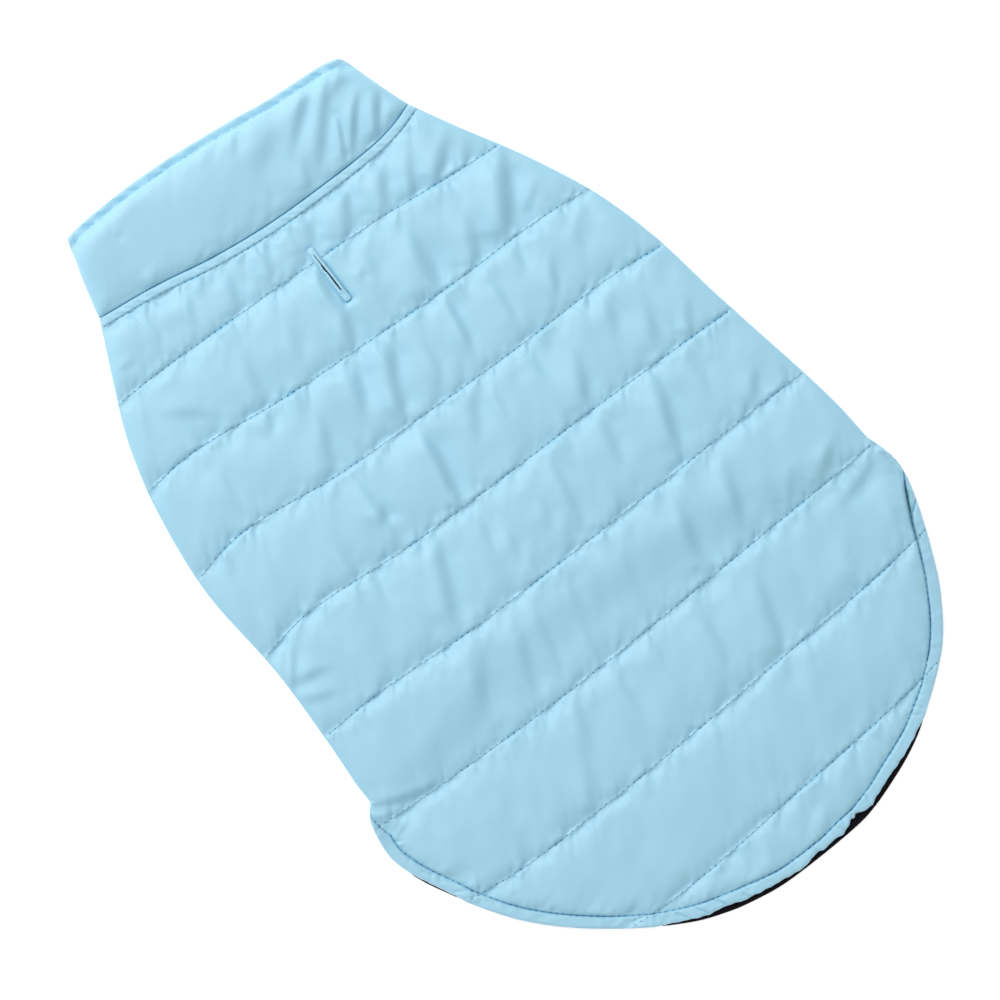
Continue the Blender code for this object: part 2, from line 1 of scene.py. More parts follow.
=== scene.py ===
# %% [markdown]
# # A quilted winter coat for a dog
#
# The coat lies flat on its belly panel with its back up. On the real one, two layers of light
# blue polyester hold a sheet of padding, and rows of stitches pull them together, so that the
# cloth puffs up between the rows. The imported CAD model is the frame: it gives every piece its
# place and its thickness. This script builds each piece again in finer cloth over that frame.

import math
from collections import namedtuple

import bpy
import numpy as np
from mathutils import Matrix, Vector
from mathutils.geometry import delaunay_2d_cdt


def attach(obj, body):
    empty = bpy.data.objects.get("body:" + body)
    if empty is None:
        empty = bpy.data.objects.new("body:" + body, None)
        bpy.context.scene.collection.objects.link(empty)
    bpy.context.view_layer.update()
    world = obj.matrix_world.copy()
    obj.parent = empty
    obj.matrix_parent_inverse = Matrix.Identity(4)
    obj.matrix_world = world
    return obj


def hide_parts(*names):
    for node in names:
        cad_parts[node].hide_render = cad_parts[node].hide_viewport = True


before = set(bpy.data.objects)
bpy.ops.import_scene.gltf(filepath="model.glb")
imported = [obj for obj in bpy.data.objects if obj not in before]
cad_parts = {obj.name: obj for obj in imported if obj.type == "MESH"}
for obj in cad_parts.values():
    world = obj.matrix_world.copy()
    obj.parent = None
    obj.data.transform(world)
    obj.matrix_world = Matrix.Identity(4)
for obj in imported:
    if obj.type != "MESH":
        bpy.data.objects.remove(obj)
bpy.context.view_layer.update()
bpy.ops.object.select_all(action="DESELECT")
print("CAD nodes:", ", ".join(sorted(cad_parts)))

# %% [markdown]
# ## The sizes
#
# A tailor thinks in millimetres, so the tables and functions here do too, and the meshes are
# turned into metres when they are made. The sizes are those of the frame: a padded belly panel
# on the table, the quilted back on top of it, and a fleece lining under the tail flap. +Y runs
# along the spine towards the collar and +X across the coat.

# %% Thicknesses and widths, in millimetres
MM = 0.001
GAP = 0.3  # clearance between pieces that are sewn or lie together
BELLY_THICK = 4.4
LINING_THICK = 1.7
SEAM_THICK = 1.6  # back panel where a seam presses it
EDGE_LOFT = 1.05  # steep rise of the cloth beside its stitches
ARCH_LOFT = 1.15  # further rise of a full width puff towards its middle
FULL_CHANNEL = 40.0  # distance between two seams that lets a puff rise to its full loft
EDGE_THICK = 1.2  # wall at a folded side edge
FOLD_ROUND = 11.0
BELLY_ROUND = 6.0
BELLY_LIFT = 3.2
HEM_WIDTH = 5.4
HEM_EDGE = 1.0
HEM_CROWN = 1.6
NECK_BAND = 4.0
NECK_BAND_THICK = 2.7
COLLAR_RIM = 3.5
COLLAR_RIM_THICK = 1.7
COLLAR_LOFT = 5.6
COLLAR_FOLD = 9.0
SLIT_LENGTH = 27.6
SLIT_WIDTH = 3.2
SLOT_LENGTH = 20.0
SLOT_WIDTH = 0.8
SLIT_LIP = 1.3  # thickness of the folded cloth round the leash slit
BELLY_CURVE = 25.0
LINING_OVERLAP = 3.0
DROP_LENGTH = 20.0
LEG_HOLE_WIDTH = 54.0
LEG_HOLE_LENGTH = 68.0
LEG_HOLE_SPAN = 116.0
LEG_HOLE_Y = 90.0
LEG_HOLE_SLANT = -0.11
STITCH = 3.0  # length of one stitch
GRAIN = 1.2  # spacing of the points in the cloth
BACK_BOTTOM = BELLY_THICK + GAP
HEM_BOTTOM = LINING_THICK + GAP
print("back panel starts", round(BACK_BOTTOM, 1), "mm above the table")

# %% [markdown]
# ## The outline
#
# The coat is cut like a shirt with a round tail. A few points per side and a smooth curve
# through them are enough, as on a paper pattern. The tail's third column says how far the
# lining peeks out under the hem at its left side. Along the bottom the hem is uneven, and the
# table below the outline says how far the lining shows there, from left to right.

# %% Outline tables
EdgePoint = namedtuple("EdgePoint", "x y")
TailPoint = namedtuple("TailPoint", "x y peek")
LEFT_SIDE = [
    EdgePoint(-78.5, 167.3),
    EdgePoint(-92.5, 142.0),
    EdgePoint(-104.5, 118.0),
    EdgePoint(-114.0, 88.0),
    EdgePoint(-120.3, 50.0),
    EdgePoint(-119.9, 8.0),
    EdgePoint(-122.6, -27.0),
    EdgePoint(-125.4, -50.0),
    EdgePoint(-125.9, -60.5),
]
TAIL = [
    TailPoint(-125.9, -60.5, 0.0),
    TailPoint(-131.6, -68.0, 0.0),
    TailPoint(-134.8, -82.0, 0.0),
    TailPoint(-133.4, -93.0, 0.3),
    TailPoint(-130.4, -102.5, 0.8),
    TailPoint(-125.2, -114.0, 0.5),
    TailPoint(-121.4, -122.0, 0.0),
    TailPoint(-110.5, -140.0, 0.0),
    TailPoint(-94.7, -158.0, 0.0),
    TailPoint(-73.8, -176.0, 0.0),
    TailPoint(-56.3, -188.0, 0.0),
    TailPoint(-42.8, -194.3, 0.0),
    TailPoint(-32.0, -197.8, 0.0),
    TailPoint(-17.0, -201.0, 0.0),
    TailPoint(4.0, -202.4, 0.0),
    TailPoint(23.0, -202.6, 0.0),
    TailPoint(33.0, -201.4, 0.0),
    TailPoint(45.0, -198.4, 0.0),
    TailPoint(58.7, -193.9, 0.0),
    TailPoint(72.5, -187.0, 0.0),
    TailPoint(97.3, -170.0, 0.0),
    TailPoint(112.4, -152.0, 0.0),
    TailPoint(122.4, -134.0, 0.0),
    TailPoint(130.4, -116.0, 0.0),
    TailPoint(134.3, -104.0, 0.0),
    TailPoint(134.9, -94.0, 0.0),
    TailPoint(132.3, -82.3, 0.0),
]
RIGHT_SIDE = [
    EdgePoint(132.3, -82.3),
    EdgePoint(131.9, -62.0),
    EdgePoint(129.4, -38.0),
    EdgePoint(124.1, 4.0),
    EdgePoint(120.4, 40.0),
    EdgePoint(113.8, 70.0),
    EdgePoint(102.3, 100.0),
    EdgePoint(87.9, 130.0),
    EdgePoint(78.6, 150.2),
]
NECK = [
    EdgePoint(78.6, 150.2),
    EdgePoint(66.0, 147.4),
    EdgePoint(51.8, 146.7),
    EdgePoint(25.9, 148.1),
    EdgePoint(-0.4, 150.7),
    EdgePoint(-25.9, 155.4),
    EdgePoint(-51.5, 162.1),
    EdgePoint(-78.5, 167.3),
]
COLLAR_LEFT = [
    EdgePoint(-67.4, 200.4),
    EdgePoint(-70.6, 191.2),
    EdgePoint(-73.3, 184.2),
    EdgePoint(-77.1, 172.5),
    EdgePoint(-78.5, 167.3),
]
COLLAR_RIGHT = [
    EdgePoint(78.6, 150.2),
    EdgePoint(76.0, 159.5),
    EdgePoint(73.9, 167.5),
    EdgePoint(72.1, 175.0),
    EdgePoint(70.6, 181.0),
]
COLLAR_TOP = [
    EdgePoint(70.6, 181.0),
    EdgePoint(69.2, 183.6),
    EdgePoint(66.2, 185.1),
    EdgePoint(59.4, 186.9),
    EdgePoint(36.2, 190.2),
    EdgePoint(18.7, 193.8),
    EdgePoint(-6.4, 198.3),
    EdgePoint(-20.7, 200.2),
    EdgePoint(-35.0, 201.6),
    EdgePoint(-54.3, 202.4),
    EdgePoint(-63.6, 202.1),
    EdgePoint(-66.4, 201.5),
    EdgePoint(-67.4, 200.4),
]

Peek = namedtuple("Peek", "x shows")
PEEKS = [
    Peek(-70, 0.0), Peek(-66, 0.8), Peek(-60, 1.3), Peek(-56, 1.5), Peek(-50, 1.6),
    Peek(-48, 2.2), Peek(-42, 2.9), Peek(-38, 2.6), Peek(-34, 2.1), Peek(-31, 2.3),
    Peek(-24, 2.2), Peek(-19, 2.1), Peek(-15, 1.9), Peek(-8, 1.0), Peek(-3, 1.4),
    Peek(1, 2.6), Peek(3, 2.3), Peek(4.5, 1.5), Peek(10, 2.2), Peek(15.5, 1.5),
    Peek(20, 2.8), Peek(22, 4.2), Peek(23.3, 3.4), Peek(25, 4.5), Peek(27.5, 3.1),
    Peek(33, 1.4), Peek(37, 2.5), Peek(40, 2.2), Peek(43, 2.6), Peek(49, 2.4),
    Peek(56, 1.9), Peek(63, 1.5), Peek(69, 1.1), Peek(74, 0.0),
]
HemWidth = namedtuple("HemWidth", "from_right width")
HEM_WIDTHS = [
    HemWidth(19, 0.1), HemWidth(22, 0.7), HemWidth(27, 2.5), HemWidth(34, 3.8),
    HemWidth(44, 4.8), HemWidth(54, 5.0), HemWidth(75, 5.5), HemWidth(90, 5.7),
    HemWidth(115, 5.2), HemWidth(140, 5.6), HemWidth(158, 5.2), HemWidth(175, 4.4),
    HemWidth(195, 4.3), HemWidth(215, 4.6), HemWidth(235, 5.3), HemWidth(260, HEM_WIDTH),
]


# %% Curves through the tables
def smooth_line(points, step):
    """A smooth line through the points, in even steps. It carries any further columns along."""
    points = np.array([tuple(p) for p in points], float)
    ring = np.vstack([2 * points[0] - points[1], points, 2 * points[-1] - points[-2]])
    fine = []
    for a, b, c, d in zip(ring, ring[1:], ring[2:], ring[3:]):
        t = np.arange(0, 1, 0.05)[:, None]
        fine.append(0.5 * (2 * b + (c - a) * t + (2 * a - 5 * b + 4 * c - d) * t**2
                           + (3 * b - a - 3 * c + d) * t**3))
    fine = np.vstack(fine + [points[-1:]])
    along = length_along(fine)
    places = np.linspace(0, along[-1], max(2, round(along[-1] / step) + 1))
    return np.array([np.interp(places, along, column) for column in fine.T]).T


def length_along(line):
    """How far along a line each of its points is."""
    return np.concatenate([[0], np.cumsum(np.hypot(*np.diff(line[:, :2], axis=0).T))])


def line_height(line):
    """The line's Y as a function of X."""
    line = line[np.argsort(line[:, 0])]
    return lambda x: np.interp(x, line[:, 0], line[:, 1])


def moved_in(line, amount):
    """A line that runs counter-clockwise round the coat, moved towards the inside."""
    run = np.gradient(line[:, :2], axis=0)
    run /= np.hypot(*run.T)[:, None]
    inward = np.stack([-run[:, 1], run[:, 0]], axis=1)
    return line[:, :2] + inward * np.reshape(amount, (-1, 1))


def joined(*lines):
    """One loop of lines that meet end to end."""
    return np.vstack([line[:-1, :2] for line in lines])


left_side = smooth_line(LEFT_SIDE, GRAIN)
tail = smooth_line(TAIL, 0.9)
right_side = smooth_line(RIGHT_SIDE, GRAIN)
neck = smooth_line(NECK, GRAIN)
tail[1:-1, :2] = moved_in(tail, -0.25)[1:-1]
peek = np.interp(tail[:, 0], *np.transpose(PEEKS)) * (tail[:, 1] < -160)
peek += np.maximum(tail[:, 2], 0)
steady = np.convolve(np.pad(peek, 12, "edge"), np.ones(25) / 25, "valid")
hem_line = moved_in(tail, steady)
hem_line[0], hem_line[-1] = tail[0, :2], tail[-1, :2]
hem_along = length_along(hem_line)
ripple = 0.12 * np.sin(hem_along / 0.9) * np.sin(hem_along / 4.3 + 1)
hem = moved_in(tail, peek + ripple * np.clip(peek, 0.1, 1.6))
hem[0], hem[-1] = tail[0, :2], tail[-1, :2]
print("hem", round(hem_along[-1]), "mm, neck", round(length_along(neck)[-1]), "mm")

# %% [markdown]
# ## The quilting rows
#
# Eight rows of stitches cross the back. Each is a row of the table: its height at the two
# folded sides and at five places between. The rows hook towards the tail at their ends, where
# the cloth turns round the side.

# %% Quilting table
SEAM_PLACES = (0.0, 0.12, 0.31, 0.5, 0.69, 0.88, 1.0)
Seam = namedtuple("Seam", "left_end left_in left_mid middle right_mid right_in right_end")
SEAMS = [
    Seam(134.7, 133.7, 130.3, 126.6, 122.0, 115.7, 112.3),
    Seam(98.8, 98.9, 91.2, 85.8, 80.9, 77.9, 73.6),
    Seam(57.2, 59.9, 51.8, 47.0, 42.8, 40.1, 35.4),
    Seam(14.2, 16.3, 9.8, 5.9, 2.8, -1.0, -3.8),
    Seam(-27.6, -28.5, -34.2, -37.2, -39.7, -41.8, -43.6),
    Seam(-70.6, -74.7, -79.3, -82.2, -83.5, -85.0, -85.6),
    Seam(-119.0, -124.1, -127.0, -128.2, -128.6, -128.9, -127.4),
    Seam(-172.4, -175.3, -176.2, -175.5, -175.3, -174.6, -172.8),
]


def hem_width(along):
    """The turned hem starts at the left belly corner and some way below the right one."""
    at_left = HEM_WIDTH * np.clip((along - 4) / 14.0, 0.02, 1)
    return np.minimum(at_left, np.interp(hem_along[-1] - along, *np.transpose(HEM_WIDTHS)))


def seam_path(seam):
    """The points of a quilting row, from one side of the coat to the other."""
    left = np.vstack([left_side[:, :2], tail[: len(tail) // 2, :2]])
    right = np.vstack([right_side[:, :2], tail[len(tail) // 2 :, :2]])
    ends = [line_height(side[:, ::-1])(y)
            for side, y in ((left, seam.left_end), (right, seam.right_end))]
    points = [(ends[0] + place * (ends[1] - ends[0]), y) for place, y in zip(SEAM_PLACES, seam)]
    return smooth_line(points, 0.75)


seam_paths = [seam_path(seam) for seam in SEAMS]
seam_heights = [line_height(path) for path in seam_paths]
hem_stitch = moved_in(hem_line, hem_width(hem_along))
topstitch = smooth_line(moved_in(neck, NECK_BAND), 0.75)
topstitch_y = line_height(topstitch)
neck_y = line_height(neck)
print("quilting rows:", len(seam_paths), "in all",
      round(sum(length_along(path)[-1] for path in seam_paths) / 1000, 2), "m of stitches")


# %% Distances on the cloth
def nearest(points, line):
    """Distance from each point to the line, and how far along the line that is."""
    start, run = line[:-1, :2], np.diff(line[:, :2], axis=0)
    lengths = np.maximum(np.hypot(*run.T), 1e-6)
    begins = length_along(line)[:-1]
    found = []
    for some in np.array_split(points, len(points) // 2000 + 1):
        offset = some[:, None, :] - start[None]
        t = np.clip((offset * run).sum(-1) / lengths**2, 0, 1)
        apart = np.hypot(*np.moveaxis(offset - t[..., None] * run, -1, 0))
        best = apart.argmin(axis=1)
        rows = np.arange(len(some))
        found.append((apart[rows, best], begins[best] + t[rows, best] * lengths[best]))
    return [np.concatenate(column) for column in zip(*found)]


def inside(points, loop):
    """Whether each point lies inside the closed loop."""
    x, y = points.T
    found = np.zeros(len(points), bool)
    for (ax, ay), (bx, by) in zip(loop, np.roll(loop, -1, axis=0)):
        if ay != by:
            crosses = (ay > y) != (by > y)
            found ^= crosses & (x < ax + (bx - ax) * (y - ay) / (by - ay))
    return found


def belly_edge_y(x):
    """Lower edge of the belly panel: an arch between its two corners."""
    first, last = tail[0], tail[-1]
    t = np.clip((x - first[0]) / (last[0] - first[0]), 0, 1)
    return first[1] + t * (last[1] - first[1]) + BELLY_CURVE * (1 - (2 * t - 1) ** 2)


# %% [markdown]
# ## The leash slit
#
# A slit behind the collar lets the leash reach a harness under the coat. It is a buttonhole
# with a narrow stitched frame, a little to the right of the spine.

# %% Place of the slit
SLIT_TOP = np.array([7.2, 131.8])
SLIT_FOOT = np.array([5.6, 104.2])
slit_run = (SLIT_TOP - SLIT_FOOT) / np.hypot(*(SLIT_TOP - SLIT_FOOT))
slit_across = np.array([slit_run[1], -slit_run[0]])
slit_centre = (SLIT_TOP + SLIT_FOOT) / 2


def slit_frame(length, width, corner, step=0.8):
    """A rectangle with cut corners round the slit, counter-clockwise, in short steps."""
    a, b = length / 2, width / 2
    corners = [(-b + corner, -a), (b - corner, -a), (b, -a + corner), (b, a - corner),
               (b - corner, a), (-b + corner, a), (-b, a - corner), (-b, -a + corner)]
    points = []
    for first, last in zip(corners, corners[1:] + corners[:1]):
        count = max(1, round(math.dist(first, last) / step))
        points += [np.array(first) + (np.array(last) - first) * i / count for i in range(count)]
    return np.array([slit_centre + u * slit_across + v * slit_run for u, v in points])


SlitPoint = namedtuple("SlitPoint", "place half_width shift")
SLIT_OPENING = [
    SlitPoint(-8.8, 0.05, 0.1),
    SlitPoint(-8.2, 0.26, 0.1),
    SlitPoint(-5.5, 0.42, 0.1),
    SlitPoint(-1.0, 0.34, 0.1),
    SlitPoint(1.2, 0.28, 0.1),
    SlitPoint(2.2, 0.48, -0.2),
    SlitPoint(4.0, 0.38, -0.1),
    SlitPoint(5.5, 0.18, 0.0),
    SlitPoint(10.4, 0.12, 0.0),
    SlitPoint(10.8, 0.04, 0.0),
]


def slit_opening():
    """The edge of the opening between the two lips, counter-clockwise."""
    table = np.array([tuple(point) for point in SLIT_OPENING])
    v = np.arange(table[0, 0], table[-1, 0], 0.4)
    half, shift = np.interp(v, table[:, 0], table[:, 1]), np.interp(v, table[:, 0], table[:, 2])
    u = np.concatenate([shift + half, (shift - half)[::-1]])
    v = np.concatenate([v, v[::-1]])
    return slit_centre + u[:, None] * slit_across + v[:, None] * slit_run


def slit_distance(points):
    """How far each point is outside the stitched frame."""
    off = points - slit_centre
    u = np.abs(off @ slit_across) - SLIT_WIDTH / 2 - 0.2
    v = np.abs(off @ slit_run) - SLIT_LENGTH / 2 - 0.2
    return np.hypot(np.maximum(u, 0), np.maximum(v, 0))


# %% [markdown]
# ## Folds and puckers
#
# Two kinds of creases bring cloth to life. Folds are large and each has its own place, so they
# are listed one by one: a row gives the two ends of the fold's shaded wall, how steep and how
# wide that wall is, and how far the fold bows sideways. Most folds start softly below one row
# of stitches and end sharply at the next. Puckers are small and come wherever a row of stitches
# pulls the cloth, so they are worked out from seeded noise: creases that start at the seam and
# fade away from it.

# %% Seeded noise
def smooth_step(t):
    t = np.clip(t, 0, 1)
    return t * t * (3 - 2 * t)


def waves(place, pitch, seed):
    """Smooth random values from -1 to 1 along a line, one knot a pitch."""
    knots = np.random.RandomState(seed).uniform(-1, 1, 2048)
    at = np.asarray(place) / pitch + 700
    low = np.floor(at).astype(int) % 2047
    t = smooth_step(at - np.floor(at))
    return knots[low] * (1 - t) + knots[low + 1] * t


def patches(points, pitch, seed):
    """Smooth random values from -1 to 1 over the cloth, one knot a pitch each way."""
    knots = np.random.RandomState(seed).uniform(-1, 1, (512, 512))
    at = points / pitch + 200
    x, y = (np.floor(at).astype(int) % 511).T
    t = smooth_step(at - np.floor(at))
    near = knots[x, y] * (1 - t[:, 0]) + knots[x + 1, y] * t[:, 0]
    far = knots[x, y + 1] * (1 - t[:, 0]) + knots[x + 1, y + 1] * t[:, 0]
    return near * (1 - t[:, 1]) + far * t[:, 1]


# %% Folds, listed one by one
Fold = namedtuple("Fold", "top_x top_y foot_x foot_y slope width bow")
BODY_FOLDS = [
    # between the collar and the first row
    Fold(-24, 148, -33, 129, 0.6, 5.0, 0),
    Fold(-6, 147, -13, 131, 0.5, 4.0, 0),
    Fold(6, 145, 3, 131, 0.4, 3.5, 0),
    Fold(17, 143, 6, 128, 0.6, 4.5, 0),
    Fold(37, 143, 21, 124, 0.6, 5.0, 1),
    Fold(54, 140, 41, 121, 0.6, 4.5, 0),
    Fold(67, 139, 55, 118, 0.5, 4.5, 0),
    Fold(86, 132, 63, 116, 0.7, 5.0, 0),
    Fold(78, 124, 66, 117, 0.5, 3.0, 0),
    Fold(-90, 146, -76, 143.5, 0.4, 2.5, 0),
    Fold(-62, 158, -66, 140, 0.3, 4.0, 0),
    Fold(-43, 153, -50, 138, 0.35, 4.0, 0),
    # beside the slit
    Fold(4, 126, -1, 101, 1.0, 4.0, 0),
    Fold(20, 112, 14, 106, 0.5, 3.0, 0),
    # first to second row
    Fold(-88, 122, -66, 104, 0.4, 5.0, 0),
    Fold(-41, 119, -52, 89, 0.55, 6.0, 0),
    Fold(-18, 116, -27, 96, 0.3, 5.0, 0),
    Fold(5, 111, -8, 84, 0.9, 5.0, 0),
    Fold(26, 118, 18, 98, 0.3, 5.0, 0),
    Fold(47, 114, 36, 80, 0.6, 7.0, -1),
    Fold(69, 102, 56, 79, 0.6, 5.5, 0),
    Fold(96, 111, 72, 78, 1.0, 7.0, 0),
    Fold(101, 92, 84, 81, 0.4, 4.0, 0),
    # second to third row
    Fold(-80, 90, -86, 66, 0.3, 5.0, 0),
    Fold(-49, 93, -57, 81, 0.5, 4.0, 0),
    Fold(-33, 82, -47, 51, 0.6, 5.0, 0),
    Fold(-10, 86, -23, 60, 0.6, 6.5, 0),
    Fold(8, 86, -10, 50, 0.9, 5.5, 0),
    Fold(19, 76, 14, 51, 0.4, 4.5, 0),
    Fold(38, 82, 29, 50, 0.75, 4.0, 1),
    Fold(58, 77, 51, 46, 0.5, 4.5, 0),
    Fold(74, 78, 68, 62, 0.4, 4.0, 0),
    Fold(84, 66, 72, 46, 0.6, 4.0, 0),
    Fold(101, 70, 92, 52, 0.3, 5.0, 0),
    # third to fourth row
    Fold(-41, 52, -46, 11, 0.4, 4.5, 1),
    Fold(-38, 33, -47, 22, 0.7, 4.5, 0),
    Fold(-65, 33, -67, 14, 0.3, 4.0, 0),
    Fold(-7, 47, -16, 7, 0.9, 5.0, 1),
    Fold(20, 43, 6, 21, 0.4, 5.5, 0),
    Fold(28, 42, 23, 18, 0.4, 3.5, 0),
    Fold(49, 43, 45, 16, 0.35, 4.5, 0),
    Fold(64, 29, 51, 1, 0.85, 5.5, 0),
    Fold(88, 36, 80, 18, 0.4, 5.0, 0),
    Fold(101, 24, 88, 2, 0.5, 5.0, 0),
    Fold(116, 15, 104, -1, 0.5, 4.0, 0),
    # fourth to fifth row
    Fold(-111, 14.5, -129, -14, 0.8, 2.6, 0),
    Fold(-105, 12.5, -131, -15, 0.9, 3.0, 0),
    Fold(-131, 1.5, -96, -8.5, 0.6, 4.5, 0),
    Fold(-131, -4.5, -102, -19, 0.5, 4.0, 0),
    Fold(-88, 12, -94, -10, 0.25, 5.0, 0),
    Fold(-63, 13, -66, -8, 0.4, 4.0, 0),
    Fold(-28, 8, -50, -31, 0.6, 6.0, -2),
    Fold(-12, 6, -19, -18, 0.45, 5.0, 0),
    Fold(-4, -5, -14, -29, 0.5, 5.0, 0),
    Fold(14, -9, 6, -26, 0.4, 5.0, 0),
    Fold(26, 3, 17, -34, 0.45, 5.0, 1),
    Fold(36, 5, 33, -12, 0.3, 4.0, 0),
    Fold(55, 2, 45, -27, 0.55, 5.5, 0),
    Fold(83, -2, 67, -37, 0.75, 5.5, 0),
    Fold(100, -5, 93, -28, 0.3, 5.0, 0),
    Fold(118, -27, 105, -40, 0.5, 4.0, 0),
    # fifth to sixth row
    Fold(-45, -35, -69, -68, 0.5, 8.0, 0),
    Fold(-28, -38, -45, -76, 0.45, 6.0, 0),
    Fold(-18, -38, -31, -76, 0.45, 5.0, 0),
    Fold(-8, -59, -15, -80, 0.35, 4.0, 0),
    Fold(-2, -40, -5, -62, 0.3, 4.5, 0),
    Fold(24, -44, 16, -72, 0.25, 6.0, 0),
    Fold(56, -43, 44, -82, 0.55, 6.0, 0),
    Fold(82, -46, 68, -78, 0.6, 6.0, 0),
    Fold(101, -67, 90, -83, 0.4, 4.0, 0),
    Fold(123, -71, 104, -85, 0.7, 4.5, 0),
    Fold(-147, -51, -93, -77.5, 0.9, 3.0, 1),
    Fold(-142, -61.4, -116, -74.6, 0.9, 2.0, 0),
    Fold(-119.5, -73.3, -132, -77.7, 0.8, 1.6, 0),
    Fold(-118.0, -76.1, -132, -80.7, 0.8, 1.6, 0),
    # sixth to seventh row and the tail
    Fold(-31, -82, -44, -109, 0.35, 6.0, 0),
    Fold(-46, -103, -58, -126, 0.3, 5.0, 0),
    Fold(-10, -82, -19, -116, 0.35, 6.0, 0),
    Fold(9, -84, 3, -102, 0.3, 4.5, 0),
    Fold(31, -83, 21, -124, 0.35, 6.0, 3),
    Fold(62, -90, 46, -128, 0.5, 6.5, 0),
    Fold(130, -90, 103, -98, 0.6, 5.0, 0),
    Fold(100, -102, 90, -126, 0.25, 6.0, 0),
    Fold(-80, -88, -90, -112, 0.25, 6.0, 0),
    Fold(12, -178, 8, -190, 0.4, 4.0, 0),
    Fold(50, -134, 40, -160, 0.2, 7.0, 0),
    Fold(-50, -134, -60, -158, 0.2, 7.0, 0),
]
COLLAR_FOLDS = [
    Fold(63, 193, 23, 163, 0.8, 5.0, 0),
    Fold(70, 191.7, 29, 150, 0.75, 4.5, 0),
    Fold(86, 181, 48, 172, 0.5, 5.0, 0),
    Fold(54.5, 169, 42.5, 148, 2.1, 2.4, 0),
    Fold(68, 170, 45, 148, 1.8, 3.0, 0),
    Fold(77, 168, 56, 145, 1.8, 3.0, 0),
    Fold(87, 155, 58, 147, 0.8, 3.0, 0),
    Fold(30, 162, 24, 150, 0.8, 3.5, 0),
    Fold(12, 164, 7, 154, 0.4, 4.0, 0),
    Fold(21, 194, 7, 179, 0.6, 3.5, 0),
    Fold(36, 183, 6, 167, 0.35, 8.0, 0),
    Fold(-55.5, 169, -51, 163, 0.5, 3.0, 0),
    Fold(-24, 164, -20, 157, 0.4, 3.0, 0),
]


def fade_length(end, pinned, loose):
    """The part of a fold over which it fades out: short where its end is held by stitches."""
    to_seam = min(abs(line(end[0]) - end[1]) for line in seam_heights + [topstitch_y, neck_y])
    return pinned + (loose - pinned) * min(to_seam / 8.0, 1.0)


def fold_relief(points, folds):
    """Sum of the folds: each a steep shaded wall between a long soft ridge and a long trough."""
    relief = np.zeros(len(points))
    for number, fold in enumerate(folds):
        top = np.array([fold.top_x, fold.top_y], float)
        run = np.array([fold.foot_x, fold.foot_y], float) - top
        length = np.hypot(*run)
        away = np.array([-run[1], run[0]]) / length
        away *= -np.sign(away[1])
        reach = length / 2 + 4 * fold.width
        near = np.flatnonzero(np.hypot(*(points - top - run / 2).T) < reach)
        off = points[near] - top
        t = off @ run / length**2
        strength = (smooth_step(t / fade_length(top, 0.3, 0.6))
                    * smooth_step((1 - t) / fade_length(top + run, 0.12, 0.5))) ** 0.8
        width = fold.width / 1.76 * (0.6 + 0.4 * strength)
        u = off @ away - fold.bow * 4 * t * (1 - t)
        u += 0.6 * waves(t * length, 12.0, 700 + number)
        profile = np.tanh(u / (2.6 * width)) - np.tanh(u / width)
        fade = np.exp(-((u / (5.5 * width)) ** 2))
        relief[near] += 1.65 * fold.slope * width * strength * profile * fade
    return relief


print("folds placed:", len(BODY_FOLDS) + len(COLLAR_FOLDS))


# %% Puckers
Pucker = namedtuple("Pucker", "pitch height reach")
PUCKERS = [Pucker(2.1, 0.52, 2.8), Pucker(4.4, 0.8, 5.5), Pucker(9.0, 1.0, 9.0)]
PUCKER_LEAN = 0.5


def puckers(along, away, seed, strength=1.0):
    """Small hills beside a seam with sharp creases between them, both fading away from it.

    The distance is negative towards the tail, so that the creases lean one way on both sides.
    """
    lean, away = -PUCKER_LEAN * away, np.abs(away)
    place = np.column_stack([along + lean, 0.8 * away])
    relief = 0
    for row, pucker in enumerate(PUCKERS):
        hills = patches(place, pucker.pitch, seed + 31 * row)
        relief = relief + pucker.height * hills * np.exp(-away / pucker.reach)
    for pitch, depth, reach in ((6.5, 0.6, 3.0), (15.0, 0.8, 5.0)):
        wave = waves(along + 1.3 * lean, pitch, seed + 17)
        relief = relief - depth * np.exp(-((wave * pitch / 1.6) ** 2) - away / reach)
    return strength * relief * (1 - np.exp(-((away / 0.8) ** 2)))


# %% Creases and stitches across the hem band
Groove = namedtuple("Groove", "start_x start_y end_x end_y depth width")
BAND_CREASES = [
    Groove(124.2, -120.0, 131.4, -114.6, 1.3, 0.5),
    Groove(-128.9, -97.0, -124.5, -104.2, 0.5, 0.6),
    Groove(-126.4, -103.0, -121.2, -110.8, 0.5, 0.6),
    Groove(-124.1, -112.5, -119.9, -115.4, 0.4, 0.6),
    Groove(-66.6, -175.5, -65.0, -181.5, 0.35, 0.6),
    Groove(-59.5, -180.7, -56.4, -186.5, 0.7, 0.55),
    Groove(-51.6, -184.7, -49.1, -189.6, 0.8, 0.5),
    Groove(-43.4, -186.8, -40.8, -192.2, 0.8, 0.5),
    Groove(-33.0, -192.9, -30.8, -197.2, 0.7, 0.5),
    Groove(-21.5, -194.6, -19.8, -199.3, 0.35, 0.6),
    Groove(1.2, -196.2, 2.8, -200.2, 0.5, 0.5),
    Groove(14.5, -196.8, 17.2, -201.0, 0.35, 0.6),
    Groove(25.2, -195.6, 22.0, -199.0, 0.5, 0.5),
    Groove(33.5, -195.4, 32.0, -200.4, 0.5, 0.5),
    Groove(68.6, -181.5, 72.8, -184.6, 0.5, 0.5),
    Groove(73.2, -180.0, 75.6, -183.6, 0.4, 0.5),
]
